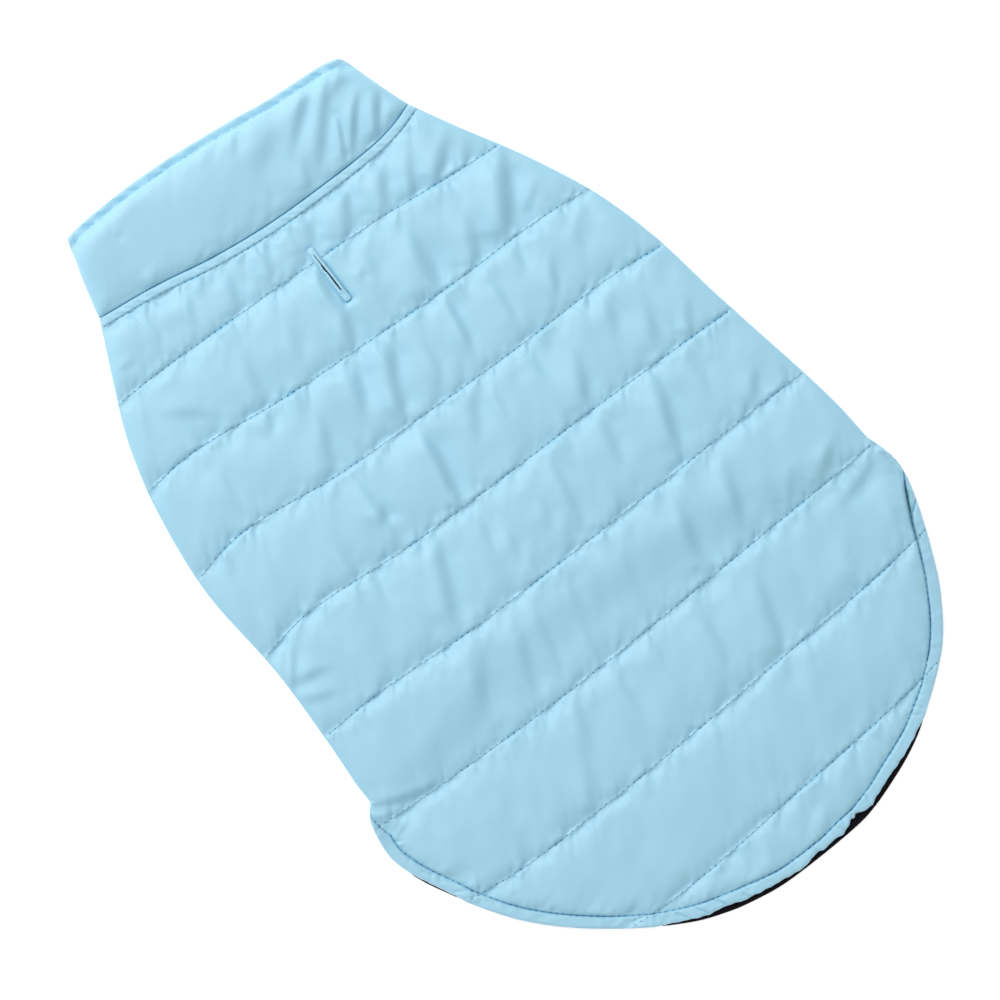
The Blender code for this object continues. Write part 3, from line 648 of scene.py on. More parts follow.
BAND_STITCHES = [
    Groove(119.9, -128.9, 125.9, -126.9, 0.35, 0.4),
    Groove(-115.9, -120.6, -122.1, -117.8, 0.35, 0.4),
    Groove(86.5, -173.6, 92.3, -173.0, 0.35, 0.4),
    Groove(-70.5, -172.2, -77.0, -170.6, 0.35, 0.4),
]


def groove_line(groove):
    """Points along a groove, 0.6 mm apart."""
    count = max(2, round(math.dist(groove[:2], groove[2:4]) / 0.6))
    return np.linspace(groove[:2], groove[2:4], count)


def grooves(points):
    """Depth of the creases and stitch lines that cross the hem band."""
    depth = np.zeros(len(points))
    for groove in BAND_CREASES + BAND_STITCHES:
        away = nearest(points, np.array([groove[:2], groove[2:4]]))[0]
        depth += groove.depth * np.exp(-((away / groove.width) ** 2))
    return depth


# %% [markdown]
# ## The height of the quilted back
#
# Between two rows the padding pushes the cloth up: steeply beside the stitches and then in a
# long flat arch. The same function rounds the folded sides, flattens the turned hem into a
# band, and leaves the strip below the neck seam as a narrow raised band. Folds and puckers are
# added only where the cloth is off the stitches.

# %% Heights of the back panel
def rise(distance, reach):
    return (1 - np.exp(-np.maximum(distance, 0) / reach)) ** 0.8


def quarter_round(distance, width):
    return np.sqrt(1 - (1 - np.clip(distance / width, 0, 1)) ** 2)


def back_underside(points):
    """Plain inside of the back panel: on the belly panel, then down onto the tail lining."""
    beyond = (belly_edge_y(points[:, 0]) - points[:, 1] - 1.0) / DROP_LENGTH
    return BACK_BOTTOM + (HEM_BOTTOM - BACK_BOTTOM) * smooth_step(beyond)


def needle_pits_and_painted_shade(along, away, pitch=STITCH):
    """The pits that the needle leaves along a row of stitches, from 0 to 1. The same values
    are painted into the cloth's colour as shade at each pit.
    """
    phase = np.abs((along / pitch + 0.5) % 1 - 0.5) * pitch
    return np.exp(-((phase / 0.4) ** 2) - (away / 0.25) ** 2)


def beside_seam(along, away, seed, reach):
    """The steep rise beside a row of stitches; it starts nearer and farther by turns."""
    uneven = 1 + 0.45 * waves(along, 1.9, seed) + 0.3 * waves(along, 5.0, seed + 1)
    return 1 - np.exp(-away / (reach * uneven))


def stitch_pitch(path):
    """The stitch length that fits a path: four of its even steps."""
    return 4 * length_along(path)[-1] / (len(path) - 1)


def back_pits_and_painted_shade(points):
    """The needle holes of all the stitch lines in the back panel, from 0 to 1: the depth of
    their pits, and the shade painted into the cloth there.
    """
    x, y = points.T
    from_line, along = nearest(points, hem_line)
    width = hem_width(along)
    pits_and_painted_shade = needle_pits_and_painted_shade(along, from_line - width) * (width > 1.5)
    for path in [topstitch[::-1]] + seam_paths:
        away = y - line_height(path)(x)
        pits_and_painted_shade += needle_pits_and_painted_shade(np.interp(x, path[:, 0], length_along(path)), away,
                              stitch_pitch(path))
    pits_and_painted_shade *= np.where(y > topstitch_y(x) - 1, 0.75, 1)
    return pits_and_painted_shade * (slit_distance(points) > 0)


def overhang_shade(points):
    """Shade under the panel at the hem's right end and round the slit, from 0 to 1."""
    from_line, along = nearest(points, hem_line)
    from_right = hem_along[-1] - along
    depth = np.interp(from_right, (20, 30, 46, 56, 110, 150), (0, 0.75, 0.75, 0.35, 0.2, 0))
    width = np.interp(from_right, (30, 46, 60), (1.1, 0.8, 0.5))
    shade = depth * np.exp(-(((from_line - hem_width(along) - 0.2) / width) ** 2))
    return shade + 0.1 * np.exp(-(((slit_distance(points) - 0.15) / 0.3) ** 2))


def back_top(points):
    """Upper face of the back panel."""
    x, y = points.T
    lines = [topstitch_y] + seam_heights + [lambda x: x * 0 - 218.0]
    paths = [topstitch[::-1]] + seam_paths
    heights = np.array([line(x) for line in lines])
    from_hem = nearest(points, hem)[0]
    from_line, along = nearest(points, hem_line)
    from_side = np.minimum(nearest(points, left_side)[0], nearest(points, right_side)[0])
    width = hem_width(along)
    from_stitch = from_line - width
    from_slit = slit_distance(points)
    loft = np.zeros(len(points))
    relief = fold_relief(points, BODY_FOLDS)
    relief += 0.16 * patches(points, 12.0, 3) + 0.35 * patches(points, 29.0, 4)
    streaks = np.column_stack([x - 0.35 * y, y / 3.2])
    relief += 0.24 * patches(streaks, 5.5, 11) + 0.32 * patches(streaks, 10.0, 12)
    free = np.ones(len(points))
    creases = np.zeros(len(points))
    for row, path in enumerate(paths):
        seam_along = np.interp(x, path[:, 0], length_along(path))
        away = np.abs(y - heights[row])
        edge = np.where(y > heights[row], beside_seam(seam_along, away, 500 + row, 3.4),
                        beside_seam(seam_along, away, 550 + row, 2.4))
        free *= edge
        if row:
            creases += np.where(y > heights[row], puckers(seam_along, away, 100 + row),
                                puckers(seam_along, -away, 200 + row, 1.2))
        else:
            creases += puckers(seam_along, -away, 310, 1.3) * (y < heights[0])
    for upper, lower in zip(heights, heights[1:]):
        t = np.clip((upper - y) / np.maximum(upper - lower, 1), 0, 1)
        fullness = np.minimum(1, (upper - lower) / FULL_CHANNEL) ** 0.8
        loft += np.where((y <= upper) & (y > lower), ARCH_LOFT * fullness * 4 * t * (1 - t), 0)
    hem_reach = np.interp(hem_along[-1] - along, (20, 90, 140), (0.7, 0.9, 1.5))
    near_hem = beside_seam(along, np.maximum(from_stitch, 0), 580, hem_reach)
    loft = (loft * rise(from_stitch, 4.0) + EDGE_LOFT * free * near_hem) * rise(from_slit, 1.4)
    creases += puckers(along, np.maximum(from_stitch, 0), 300, 0.7)
    from_right = hem_along[-1] - along
    trench = np.interp(from_right, (18, 28, 70, 120, 200), (0, 1.0, 0.8, 0.5, 0.3))
    thick_at_hem = trench * np.exp(-((from_stitch / 0.5) ** 2))
    soft = np.clip(free * near_hem * rise(from_slit, 1.5), 0, 1)
    thick = SEAM_THICK + loft + relief * (0.15 + 0.85 * soft) * (from_slit > 0)
    thick += creases * rise(from_slit, 1.0)
    thick = EDGE_THICK + (np.maximum(thick, 1.0) - EDGE_THICK) * quarter_round(from_side, FOLD_ROUND)
    crinkle = 0.35 * waves(along - 1.2 * from_hem, 4.6, 41)
    crinkle += 0.25 * waves(along + 0.3 * from_hem, 2.3, 44)
    flat_top = quarter_round(from_hem, 1.5) * quarter_round(np.maximum(-from_stitch, 0), 0.9)
    tilt = np.interp(from_right, (20, 80, 140), (-0.16, -0.1, 0.14))
    tilt *= np.maximum(-from_stitch, 0)
    band = HEM_EDGE + (HEM_CROWN - 0.3 + tilt + crinkle) * flat_top
    thick = np.where(from_stitch < 0, np.minimum(band, thick + HEM_EDGE), thick)
    in_band = np.clip((y - topstitch_y(x)) / NECK_BAND, 0, 1)
    flat_top = quarter_round(np.minimum(in_band, 1 - in_band) * NECK_BAND, 0.9)
    crinkle = 0.22 * waves(x + 1.3 * (y - topstitch_y(x)), 2.3, 42) + 0.15 * waves(x - y, 4.7, 45)
    neck_band = SEAM_THICK + (NECK_BAND_THICK - 0.3 - SEAM_THICK + crinkle) * flat_top
    neck_band *= np.clip(0.5 + from_side / 4, 0, 1)
    thick = np.where(in_band > 0, neck_band, thick) - 0.5 * back_pits_and_painted_shade(points) * (from_side > 1)
    thick -= grooves(points) * (from_stitch < 1) + thick_at_hem
    return back_underside(points) + np.maximum(thick, 0.4)


# %% [markdown]
# ## Cloth between two skins
#
# Every padded piece is one closed wall: an upper and a lower skin that share their outline.
# Each skin is a field of triangles over the outline. Points are set close together along the
# seams, where the cloth bends sharply, and evenly elsewhere, and Blender's Delaunay function
# joins them. The lower skin lies on something flat and needs few points.

# %% Triangles and walls
def triangulate(loops, points, lines):
    """Triangles inside the first loop and outside the others, through the points and lines."""
    coords, edges = [], []
    for loop in loops:
        first = len(coords)
        coords += [Vector(p) for p in loop]
        edges += [(first + i, first + (i + 1) % len(loop)) for i in range(len(loop))]
    rims = len(coords)
    for line in lines:
        first = len(coords)
        coords += [Vector(p) for p in line]
        edges += [(first + i, first + i + 1) for i in range(len(line) - 1)]
    coords += [Vector(p) for p in points]
    out, _, faces, origins, _, _ = delaunay_2d_cdt(coords, edges, [], 0, 0.02)
    flat = np.array([tuple(v) for v in out])
    faces = np.array(faces)
    middles = flat[faces].mean(axis=1)
    keep = inside(middles, loops[0])
    for hole in loops[1:]:
        keep &= ~inside(middles, hole)
    faces = faces[keep]
    a, b, c = (flat[faces[:, i]] for i in range(3))
    turned = (b - a)[:, 0] * (c - a)[:, 1] - (b - a)[:, 1] * (c - a)[:, 0] < 0
    faces[turned] = faces[turned][:, ::-1]
    rim_of = {source: i for i, sources in enumerate(origins) for source in sources}
    return flat, faces, [rim_of[i] for i in range(rims)]


def closed_wall(name, loops, upper, lower):
    """A closed wall between two skins; each skin is its height function, points and lines."""
    vertices, faces, rims = [], [], []
    for heights, points, lines in (upper, lower):
        flat, tris, rim = triangulate(loops, points, lines)
        first = sum(map(len, vertices))
        vertices.append(np.column_stack([flat, heights(flat)]))
        faces += (tris + first)[:, :: 1 if not rims else -1].tolist()
        rims.append([i + first for i in rim])
    start = 0
    for hole, loop in enumerate(loops):
        ring = list(range(start, start + len(loop)))[:: -1 if hole else 1]
        for i, j in zip(ring, ring[1:] + ring[:1]):
            faces.append([rims[1][i], rims[1][j], rims[0][j], rims[0][i]])
        start += len(loop)
    vertices = np.vstack(vertices)
    used = np.unique(np.concatenate([np.ravel(face) for face in faces]))
    number = np.full(len(vertices), -1)
    number[used] = np.arange(len(used))
    faces = [number[face].tolist() for face in faces]
    return new_mesh(name, vertices[used], faces)


def new_mesh(name, vertices, faces):
    """An object with this mesh, given in millimetres, smooth but for its sharp edges."""
    mesh = bpy.data.meshes.new(name)
    mesh.from_pydata((np.asarray(vertices) * MM).tolist(), [], faces)
    mesh.shade_smooth()
    mesh.set_sharp_from_angle(angle=math.radians(60))
    made = bpy.data.objects.new(name, mesh)
    bpy.context.scene.collection.objects.link(made)
    print(name, len(mesh.vertices), "points", len(mesh.polygons), "faces")
    return made


def mark_inner_side(made, up):
    """Mark the flat faces that look up (1) or down (-1) as the lined inner side of a panel."""
    inner = made.data.attributes.new("inner_side", "FLOAT", "FACE")
    inner.data.foreach_set("value", [float(up * face.normal.z > 0.5)
                                     for face in made.data.polygons])


def even_field(loop, step):
    """Points in even rows, each row shifted by half a step, over the whole of a loop."""
    low, high = loop.min(axis=0), loop.max(axis=0)
    rows = []
    for row, y in enumerate(np.arange(low[1], high[1], step * 0.866)):
        x = np.arange(low[0], high[0], step) + (row % 2) * step / 2
        rows.append(np.column_stack([x, np.full(len(x), y)]))
    points = np.vstack(rows)
    return points[inside(points, loop)]


def beside(line, depths, every=1):
    """Rows of points on both sides of a line, or on the side where the depth is positive."""
    return np.vstack([moved_in(line, depth)[::every] for depth in depths])


def within(points, loops, margin):
    """The points inside the first loop and outside the others, at least the margin away."""
    clear = inside(points, loops[0])
    for hole in loops[1:]:
        clear &= ~inside(points, hole)
    points = points[clear]
    apart = np.min([nearest(points, np.vstack([loop, loop[:1]]))[0] for loop in loops], axis=0)
    return points[apart > margin]


# %% The quilted back panel
SEAM_ROWS = (-3.2, -2.3, -1.5, -0.85, -0.35, 0.35, 0.85, 1.5, 2.3, 3.2)


def back_points(loops):
    """Points of the upper face: close rows at every stitch line, an even field elsewhere."""
    lines = [path for path in seam_paths] + [hem_stitch, topstitch]
    rows = []
    for line in lines:
        rows += [line, beside(line, SEAM_ROWS)]
    rows.append(beside(neck, (0.5, 1.3, 2.0, 2.7)))
    rows.append(beside(hem, (0.4, 0.9, 1.6, 2.4, 3.3, 4.2)))
    for groove in BAND_CREASES + BAND_STITCHES:
        rows += [groove_line(groove), beside(groove_line(groove), (-0.7, 0.7))]
    rows += [beside(side, (0.4, 1.0, 2.0)) for side in (left_side, right_side)]
    rows = within(np.vstack(rows), loops, 0.35)
    field = within(even_field(loops[0], GRAIN), loops, 2.6)
    x, y = field.T
    clear = np.abs(topstitch_y(x) - y) > 3.9
    clear &= y < topstitch_y(x)
    for line in seam_heights:
        clear &= np.abs(line(x) - y) > 3.9
    clear &= nearest(field, hem)[0] > 5.6
    clear &= nearest(field, hem_stitch)[0] > 3.9
    return np.vstack([rows, field[clear]])


def slit_press(points):
    """Points in and around the pressed bed of the slit."""
    return np.vstack([slit_frame(SLIT_LENGTH + 2 * out, SLIT_WIDTH + 2 * out, 0.5, 1.0)
                      for out in (0.15, 0.5, 1.2, 2.0, 3.0)])


back_loops = [joined(left_side, hem, right_side, neck),
              slit_frame(SLOT_LENGTH, SLOT_WIDTH, 0.2)]
points = back_points(back_loops)
points = points[slit_distance(points) > 3.4]
points = np.vstack([points, slit_press(points)])
drop = []
for depth in np.linspace(1.0, 1.0 + DROP_LENGTH, 8):
    x = np.arange(-125, 130, 8.0)
    line = np.column_stack([x, belly_edge_y(x) - depth])
    drop.append(within(line, back_loops, 2.0))
back_cloth = closed_wall("back_panel_cloth", back_loops, (back_top, points, []),
                         (back_underside, np.vstack(drop), []))
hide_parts("back_panel")
mark_inner_side(back_cloth, -1)
places = np.empty(3 * len(back_cloth.data.vertices))
back_cloth.data.vertices.foreach_get("co", places)
# painted shade in the cloth's colour: dark in the needle pits, under the panel at the hem's right
# end and faintly round the slit
pits_and_painted_shade = back_cloth.data.attributes.new("needle_pits_and_painted_shade", "FLOAT", "POINT")
places = places.reshape(-1, 3)[:, :2] / MM
pits_and_painted_shade.data.foreach_set("value", np.clip(back_pits_and_painted_shade(places) + overhang_shade(places), 0, 1))

# %% [markdown]
# ## The stand collar
#
# The collar is a folded tube of the same cloth with a little more padding and no quilting. A
# flat stitched rim runs along its upper edge. Laid flat it is two layers: the back half above
# and the chest half on the table, and both turn round the side folds.

# %% Heights of the collar
collar_left = smooth_line(COLLAR_LEFT, GRAIN)
collar_right = smooth_line(COLLAR_RIGHT, GRAIN)
collar_top = smooth_line(COLLAR_TOP, 0.7)
collar_foot = moved_in(neck[::-1], GAP)
collar_left[-1, :2], collar_right[0, :2] = collar_foot[0], collar_foot[-1]
collar_rim = moved_in(collar_top, COLLAR_RIM)
TACKS = [EdgePoint(-49.2, 186.9), EdgePoint(52.6, 166.7)]


def collar_face(points):
    """Upper face of the collar's back half."""
    sides = np.minimum(nearest(points, collar_left)[0], nearest(points, collar_right)[0])
    from_top, along = nearest(points, collar_top)
    from_neck, neck_along = nearest(points, collar_foot)
    from_rim = np.maximum(from_top - COLLAR_RIM, 0)
    lean = 1 - (1 - np.clip(from_neck / 32.0, 0, 1)) ** 1.4
    puff = rise(from_rim, 1.9) * (0.35 * quarter_round(from_neck, 6.0) + 0.65 * lean)
    relief = fold_relief(points, COLLAR_FOLDS)
    relief += 0.2 * patches(points, 12.0, 5) + 0.3 * patches(points, 30.0, 6)
    creases = puckers(along, from_rim, 400, 0.8) + puckers(neck_along, from_neck, 420, 0.8)
    for tack in TACKS:
        away = np.hypot(points[:, 0] - tack.x, points[:, 1] - tack.y)
        relief -= 0.9 * np.exp(-away / 1.3)
    thick = SEAM_THICK + COLLAR_LOFT * puff + relief * (0.2 + 0.8 * puff) + creases
    thick = EDGE_THICK + (np.maximum(thick, 1.0) - EDGE_THICK) * quarter_round(sides, COLLAR_FOLD)
    wrinkles = 0.45 * waves(along + 1.4 * from_top, 2.4, 43) + 0.4 * waves(along - from_top, 6.0, 46)
    rim = COLLAR_RIM_THICK + 0.4 - 0.24 * from_top + wrinkles
    rim = np.minimum(rim, 1.2 + sides) * quarter_round(0.15 + from_top, 0.7)
    return BACK_BOTTOM + np.where(from_top < COLLAR_RIM, rim, thick)


def round_underside(points, *sides):
    """Flat on the table, lifted at the rounded side folds, and a little by its own creases."""
    from_side = np.min([nearest(points, side)[0] for side in sides], axis=0)
    creases = np.maximum(0.5 * patches(points, 17.0, 7) + 0.3 * patches(points, 7.0, 8), 0)
    return BELLY_LIFT * (1 - quarter_round(from_side, BELLY_ROUND)) + creases * 0.8


collar_loop = joined(collar_left, collar_foot, collar_right, collar_top)
rows = np.vstack([
    collar_rim,
    beside(collar_rim, (-2.6, -1.8, -0.9, -0.3, 0.4, 0.9, 1.6, 2.4)),
    beside(collar_foot, (0.4, 1.0, 1.8, 2.6)),
    beside(collar_left, (0.4, 1.0, 2.0)),
    beside(collar_right, (0.4, 1.0, 2.0)),
])
rows = within(rows, [collar_loop], 0.3)
field = within(even_field(collar_loop, GRAIN), [collar_loop], 2.6)
clear = (nearest(field, collar_rim)[0] > 3.0) & (nearest(field, collar_foot)[0] > 3.3)
collar_cloth = closed_wall(
    "collar_back_cloth", [collar_loop], (collar_face, np.vstack([rows, field[clear]]), []),
    (lambda p: np.full(len(p), BACK_BOTTOM), [], []))
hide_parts("collar_back")

below = within(np.vstack([even_field(collar_loop, 3.0),
                          beside(collar_left, (0.5, 1.6, 3.4)),
                          beside(collar_right, (0.5, 1.6, 3.4))]), [collar_loop], 0.4)
collar_chest_cloth = closed_wall(
    "collar_chest_cloth", [collar_loop], (lambda p: np.full(len(p), BELLY_THICK), [], []),
    (lambda p: round_underside(p, collar_left, collar_right), below, []))
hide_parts("collar_chest")

# %% [markdown]
# ## The belly panel
#
# The belly panel is sewn to the back along the sides and has the two openings for the legs,
# each with a narrow turned and stitched edge. It lies on the table, so it is made plainly.

# %% Belly panel
def leg_hole(side, grow=0.0):
    """One leg opening, an oval that leans with the coat; side is -1 or 1."""
    x = side * LEG_HOLE_SPAN / 2
    turns = np.linspace(0, 2 * math.pi, 96, endpoint=False)
    return np.column_stack([
        x + (LEG_HOLE_WIDTH / 2 + grow) * np.cos(turns),
        LEG_HOLE_Y + LEG_HOLE_SLANT * x + (LEG_HOLE_LENGTH / 2 + grow) * np.sin(turns),
    ])


LEG_HEM = 5.0
x = np.linspace(left_side[-1, 0], right_side[0, 0], 200)
belly_edge = np.column_stack([x, belly_edge_y(x)])
belly_loops = [joined(left_side, belly_edge, right_side, neck), leg_hole(-1), leg_hole(1)]
leg_rings = [np.vstack([hole, hole[:1]]) for hole in belly_loops[1:]]


def belly_underside(points):
    from_hole, along = np.min([np.array(nearest(points, ring)) for ring in leg_rings], axis=0)
    lifted = round_underside(points, left_side, right_side)
    turned = 0.9 * (1 - quarter_round(from_hole, 2.0))
    groove = 0.7 * np.exp(-(((from_hole - LEG_HEM) / 0.8) ** 2))
    groove += 0.8 * np.exp(-((belly_edge_y(points[:, 0]) + LEG_HEM - points[:, 1]) / 0.8) ** 2)
    return np.maximum(lifted, turned) + groove


ring_points = [leg_hole(side, out) for side in (-1, 1)
               for out in (0.5, 1.2, 2.0, 3.4, 4.2, 5.0, 5.8, 6.6)]
hem_rows = [belly_edge + (0, LEG_HEM + out) for out in (-1.6, -0.8, 0, 0.8, 1.6)]
below = np.vstack([even_field(belly_loops[0], 3.0)] + ring_points + hem_rows
                  + [beside(side, (0.5, 1.6, 3.4)) for side in (left_side, right_side)])
below = within(below, belly_loops, 0.4)
belly_cloth = closed_wall("belly_panel_cloth", belly_loops,
                          (lambda p: np.full(len(p), BELLY_THICK), [], []),
                          (belly_underside, below, []))
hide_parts("belly_panel")
mark_inner_side(belly_cloth, 1)

# %% [markdown]
# ## The fleece lining of the tail flap
#
# A single layer of black fleece is sewn in at the hem. It pulls the turned hem under a little,
# so that its edge peeks out below the blue one at the tail.

# %% Tail lining
hidden = 1.0 - np.minimum(peek / 0.5, 1)
lining_edge = moved_in(tail, hidden)
x = np.linspace(lining_edge[-1, 0] - 2, lining_edge[0, 0] + 2, 120)
upper = np.column_stack([x, belly_edge_y(x) - LINING_OVERLAP])
lining_edge = lining_edge[
    lining_edge[:, 1] < belly_edge_y(lining_edge[:, 0]) - LINING_OVERLAP - 1.0]
lining_loop = np.vstack([lining_edge, upper])


def lining_top(points):
    round_edge = 0.6 * (1 - quarter_round(nearest(points, lining_edge)[0], 1.0))
    return LINING_THICK - round_edge


def lining_underside(points):
    lift = np.maximum(0.35 * patches(points, 15.0, 9) + 0.2 * patches(points, 6.0, 10), 0)
    return lift + 0.4 * (1 - quarter_round(nearest(points, lining_edge)[0], 1.2))


ring = within(beside(lining_edge, (0.4, 1.0)), [lining_loop], 0.3)
field = within(even_field(lining_loop, 3.0), [lining_loop], 1.6)
lining_cloth = closed_wall("tail_lining_fleece", [lining_loop],
                           (lining_top, ring, []),
                           (lining_underside, np.vstack([ring, field]), []))
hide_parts("tail_lining")

# %% [markdown]
# ## The frame of the leash slit
#
# Two narrow folds of the shell cloth meet in the slit, and a row of short stitches runs round
# them. The lips stand a little proud and leave a dark gap between them.

# %% Slit frame
bed = BACK_BOTTOM + SEAM_THICK + 0.1
slit_loops = [slit_frame(SLIT_LENGTH, SLIT_WIDTH, 0.8, 0.5), slit_opening()]
slit_ring = np.vstack([slit_loops[0], slit_loops[0][:1]])
slot_ring = np.vstack([slit_loops[1], slit_loops[1][:1]])
SLIT_STITCH = 0.6  # from the frame's outer edge to its stitches


def slit_lips(points):
    outer, along = nearest(points, slit_ring)
    inner = nearest(points, slot_ring)[0]
    lips = 0.3 * np.exp(-(((inner - 0.5) / 0.45) ** 2)) + 0.1 * waves(along, 2.0, 47)
    pressed = 0.2 * np.exp(-(((outer - SLIT_STITCH) / 0.3) ** 2))
    return bed + SLIT_LIP - 0.55 * (1 - quarter_round(outer, 0.9)) + lips - pressed


frame_points = np.vstack([slit_frame(SLIT_LENGTH - 2 * d, SLIT_WIDTH - 2 * d, 0.5, 0.5)
                          for d in (0.3, 0.6, 0.9, 1.2)])
frame_points = within(frame_points, slit_loops, 0.15)
slit_cloth = closed_wall("leash_slit_frame", slit_loops, (slit_lips, frame_points, []),
                         (lambda p: np.full(len(p), bed), [], []))
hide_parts("leash_slit_facing")

# %% [markdown]
# ## Stitches
#
# A lockstitch shows as a row of short threads, each diving into a needle hole at its ends. One
# thread is a short bent tube. It is laid along a path, one stitch length at a time, on the
# height of the cloth below it.

# %% Stitch maker
from mathutils.bvhtree import BVHTree

THREAD_RADIUS = 0.15
STITCH_SHAPE = ((-0.42, -0.22), (-0.27, 0.05), (0.0, 0.11), (0.27, 0.05), (0.42, -0.22))


def surface_of(made, downwards=True):
    """The height of an object's upper or lower face as a function of x and y, in millimetres."""
    tree = BVHTree.FromPolygons([v.co for v in made.data.vertices],
                                [p.vertices[:] for p in made.data.polygons])
    start, ray = (0.1, (0, 0, -1)) if downwards else (-0.1, (0, 0, 1))

    def height(x, y):
        hit = tree.ray_cast(Vector((x * MM, y * MM, start)), Vector(ray))[0]
        return None if hit is None else hit.z / MM

    return height


def stitch_row(path, height, pitch=STITCH, up=1.0, spans=((0.0, math.inf),)):
    """Threads along a path, within the given spans of it; each is five rings of five points."""
    along = length_along(path)
    count = int(along[-1] / pitch)
    turns = np.linspace(0, 2 * math.pi, 5, endpoint=False)
    vertices, faces = [], []
    for stitch in range(count):
        middle = (stitch + 0.5) * pitch
        if not any(low <= middle <= high for low, high in spans):
            continue
        rings = []
        for place, lift in STITCH_SHAPE:
            at = middle + place * pitch
            x, y = (np.interp(at, along, path[:, axis]) for axis in (0, 1))
            ahead = [np.interp(at + 0.3, along, path[:, axis]) for axis in (0, 1)]
            z = height(x, y)
            if z is None:
                break
            run = np.array([ahead[0] - x, ahead[1] - y])
            run /= max(np.hypot(*run), 1e-6)
            rings.append([(x - run[1] * THREAD_RADIUS * math.cos(a),
                           y + run[0] * THREAD_RADIUS * math.cos(a),
                           z + up * lift + THREAD_RADIUS * math.sin(a)) for a in turns])
        if len(rings) < 5:
            continue
        first = len(vertices)
        vertices += [point for ring in rings for point in ring]
        for ring in range(4):
            for i in range(5):
                j = (i + 1) % 5
                a, b = first + ring * 5, first + ring * 5 + 5
                faces.append([a + i, b + i, b + j, a + j])
        faces.append([first + i for i in range(5)])
        faces.append([first + 20 + i for i in reversed(range(5))])
    return vertices, faces


def stitches(name, rows):
    """One object of several rows of stitches."""
    vertices, faces = [], []
    for row in rows:
        points, sides = row
        faces += [[i + len(vertices) for i in side] for side in sides]
        vertices += points
    made = new_mesh(name, vertices, faces)
    return made


# %% Rows of stitches
on_back = surface_of(back_cloth)
rows = []
for path in seam_paths:
    from_side = np.minimum(nearest(path, left_side)[0], nearest(path, right_side)[0])
    keep = (from_side > 2.0) & (nearest(path, hem_stitch)[0] > 1.0)
    keep &= (nearest(path, hem)[0] > HEM_WIDTH) & (slit_distance(path) > 0.1)
    cuts = np.flatnonzero(np.diff(np.concatenate([[0], keep.astype(int), [0]])))
    along = length_along(path)
    spans = [(along[begin], along[end - 1]) for begin, end in zip(cuts[::2], cuts[1::2])]
    rows.append(stitch_row(path, on_back, stitch_pitch(path), spans=spans))
rows += [stitch_row(groove_line(groove), on_back) for groove in BAND_STITCHES]
quilting = stitches("quilting_stitches", rows)
stitched = hem_along[hem_width(hem_along) > 1.5]
hem_threads = stitches("hem_stitches", [
    stitch_row(hem_stitch, on_back, spans=[(stitched[0], stitched[-1])])])
neck_threads = stitches("neck_stitches", [
    stitch_row(topstitch, on_back, stitch_pitch(topstitch),
               spans=[(1.5, length_along(topstitch)[-1] - 1.5)])])
on_collar = surface_of(collar_cloth)
collar_threads = stitches("collar_stitches", [stitch_row(collar_rim[2:-2], on_collar)])
on_slit = surface_of(slit_cloth)
slit_path = slit_frame(SLIT_LENGTH - 2 * SLIT_STITCH, SLIT_WIDTH - 2 * SLIT_STITCH, 0.4, 0.5)
slit_threads = stitches("slit_stitches", [stitch_row(np.vstack([slit_path, slit_path[:1]]),
                                                     on_slit, 2.0)])
under_belly = surface_of(belly_cloth, downwards=False)
leg_paths = [leg_hole(side, LEG_HEM) for side in (-1, 1)]
leg_threads = stitches("leg_opening_stitches", [
    stitch_row(np.vstack([path, path[:1]]), under_belly, up=-1.0) for path in leg_paths])

# %% [markdown]
# ## Materials
#
# The shell is a plain woven polyester with a soft sheen. Its weave is a fine bump, and faint
# broad changes of tone keep it from looking like plastic. Shade is painted into the cloth at
# its needle holes and under the hem's overhang. The thread is a darker blue, partly its own
# colour and partly painted shade of the seam's crease. The fleece is black and matt.

# %% Material helper
class Value:
    """A number or a vector in a material, with ordinary arithmetic."""

    def __init__(self, recipe, socket):
        self.recipe, self.socket = recipe, socket

    def _math(self, operation, first, second):
        return self.recipe.node("ShaderNodeMath", {"operation": operation},
                                {0: first, 1: second})

    def __add__(self, other):
        return self._math("ADD", self, other)

    def __sub__(self, other):
        return self._math("SUBTRACT", self, other)

    def __rsub__(self, other):
        return self._math("SUBTRACT", other, self)

    def __mul__(self, other):
        return self._math("MULTIPLY", self, other)

    def __truediv__(self, other):
        return self._math("DIVIDE", self, other)

    def __pow__(self, other):
        return self._math("POWER", self, other)

    __radd__, __rmul__ = __add__, __mul__


class Recipe:
    """A material that is put together from nodes."""

    def __init__(self, name, colour, roughness, **settings):
        self.material = bpy.data.materials.new(name)
        self.material.use_nodes = True
        self.tree = self.material.node_tree
        self.shader = self.tree.nodes["Principled BSDF"]
        self.put(self.shader.inputs["Base Color"], (*colour, 1))
        self.put(self.shader.inputs["Roughness"], roughness)
        for title, value in settings.items():
            self.put(self.shader.inputs[title.replace("_", " ")], value)

    def put(self, socket, value):
        if isinstance(value, Value):
            self.tree.links.new(value.socket, socket)
        else:
            socket.default_value = value

    def node(self, kind, settings=None, inputs=None, output=0):
        made = self.tree.nodes.new(kind)
        for title, value in (settings or {}).items():
            setattr(made, title, value)
        for title, value in (inputs or {}).items():
            self.put(made.inputs[title], value)
        return Value(self, made.outputs[output])

    def place(self):
        """Object coordinates in metres."""
        return self.node("ShaderNodeTexCoord", output="Object")

    def noise(self, scale, detail=2.0, output=0):
        return self.node("ShaderNodeTexNoise", None,
                         {"Vector": self.place(), "Scale": scale, "Detail": detail}, output)

    def bump(self, height, distance, strength=1.0):
        normal = self.node("ShaderNodeBump", None,
                           {"Strength": strength, "Distance": distance, "Height": height})
        self.put(self.shader.inputs["Normal"], normal)


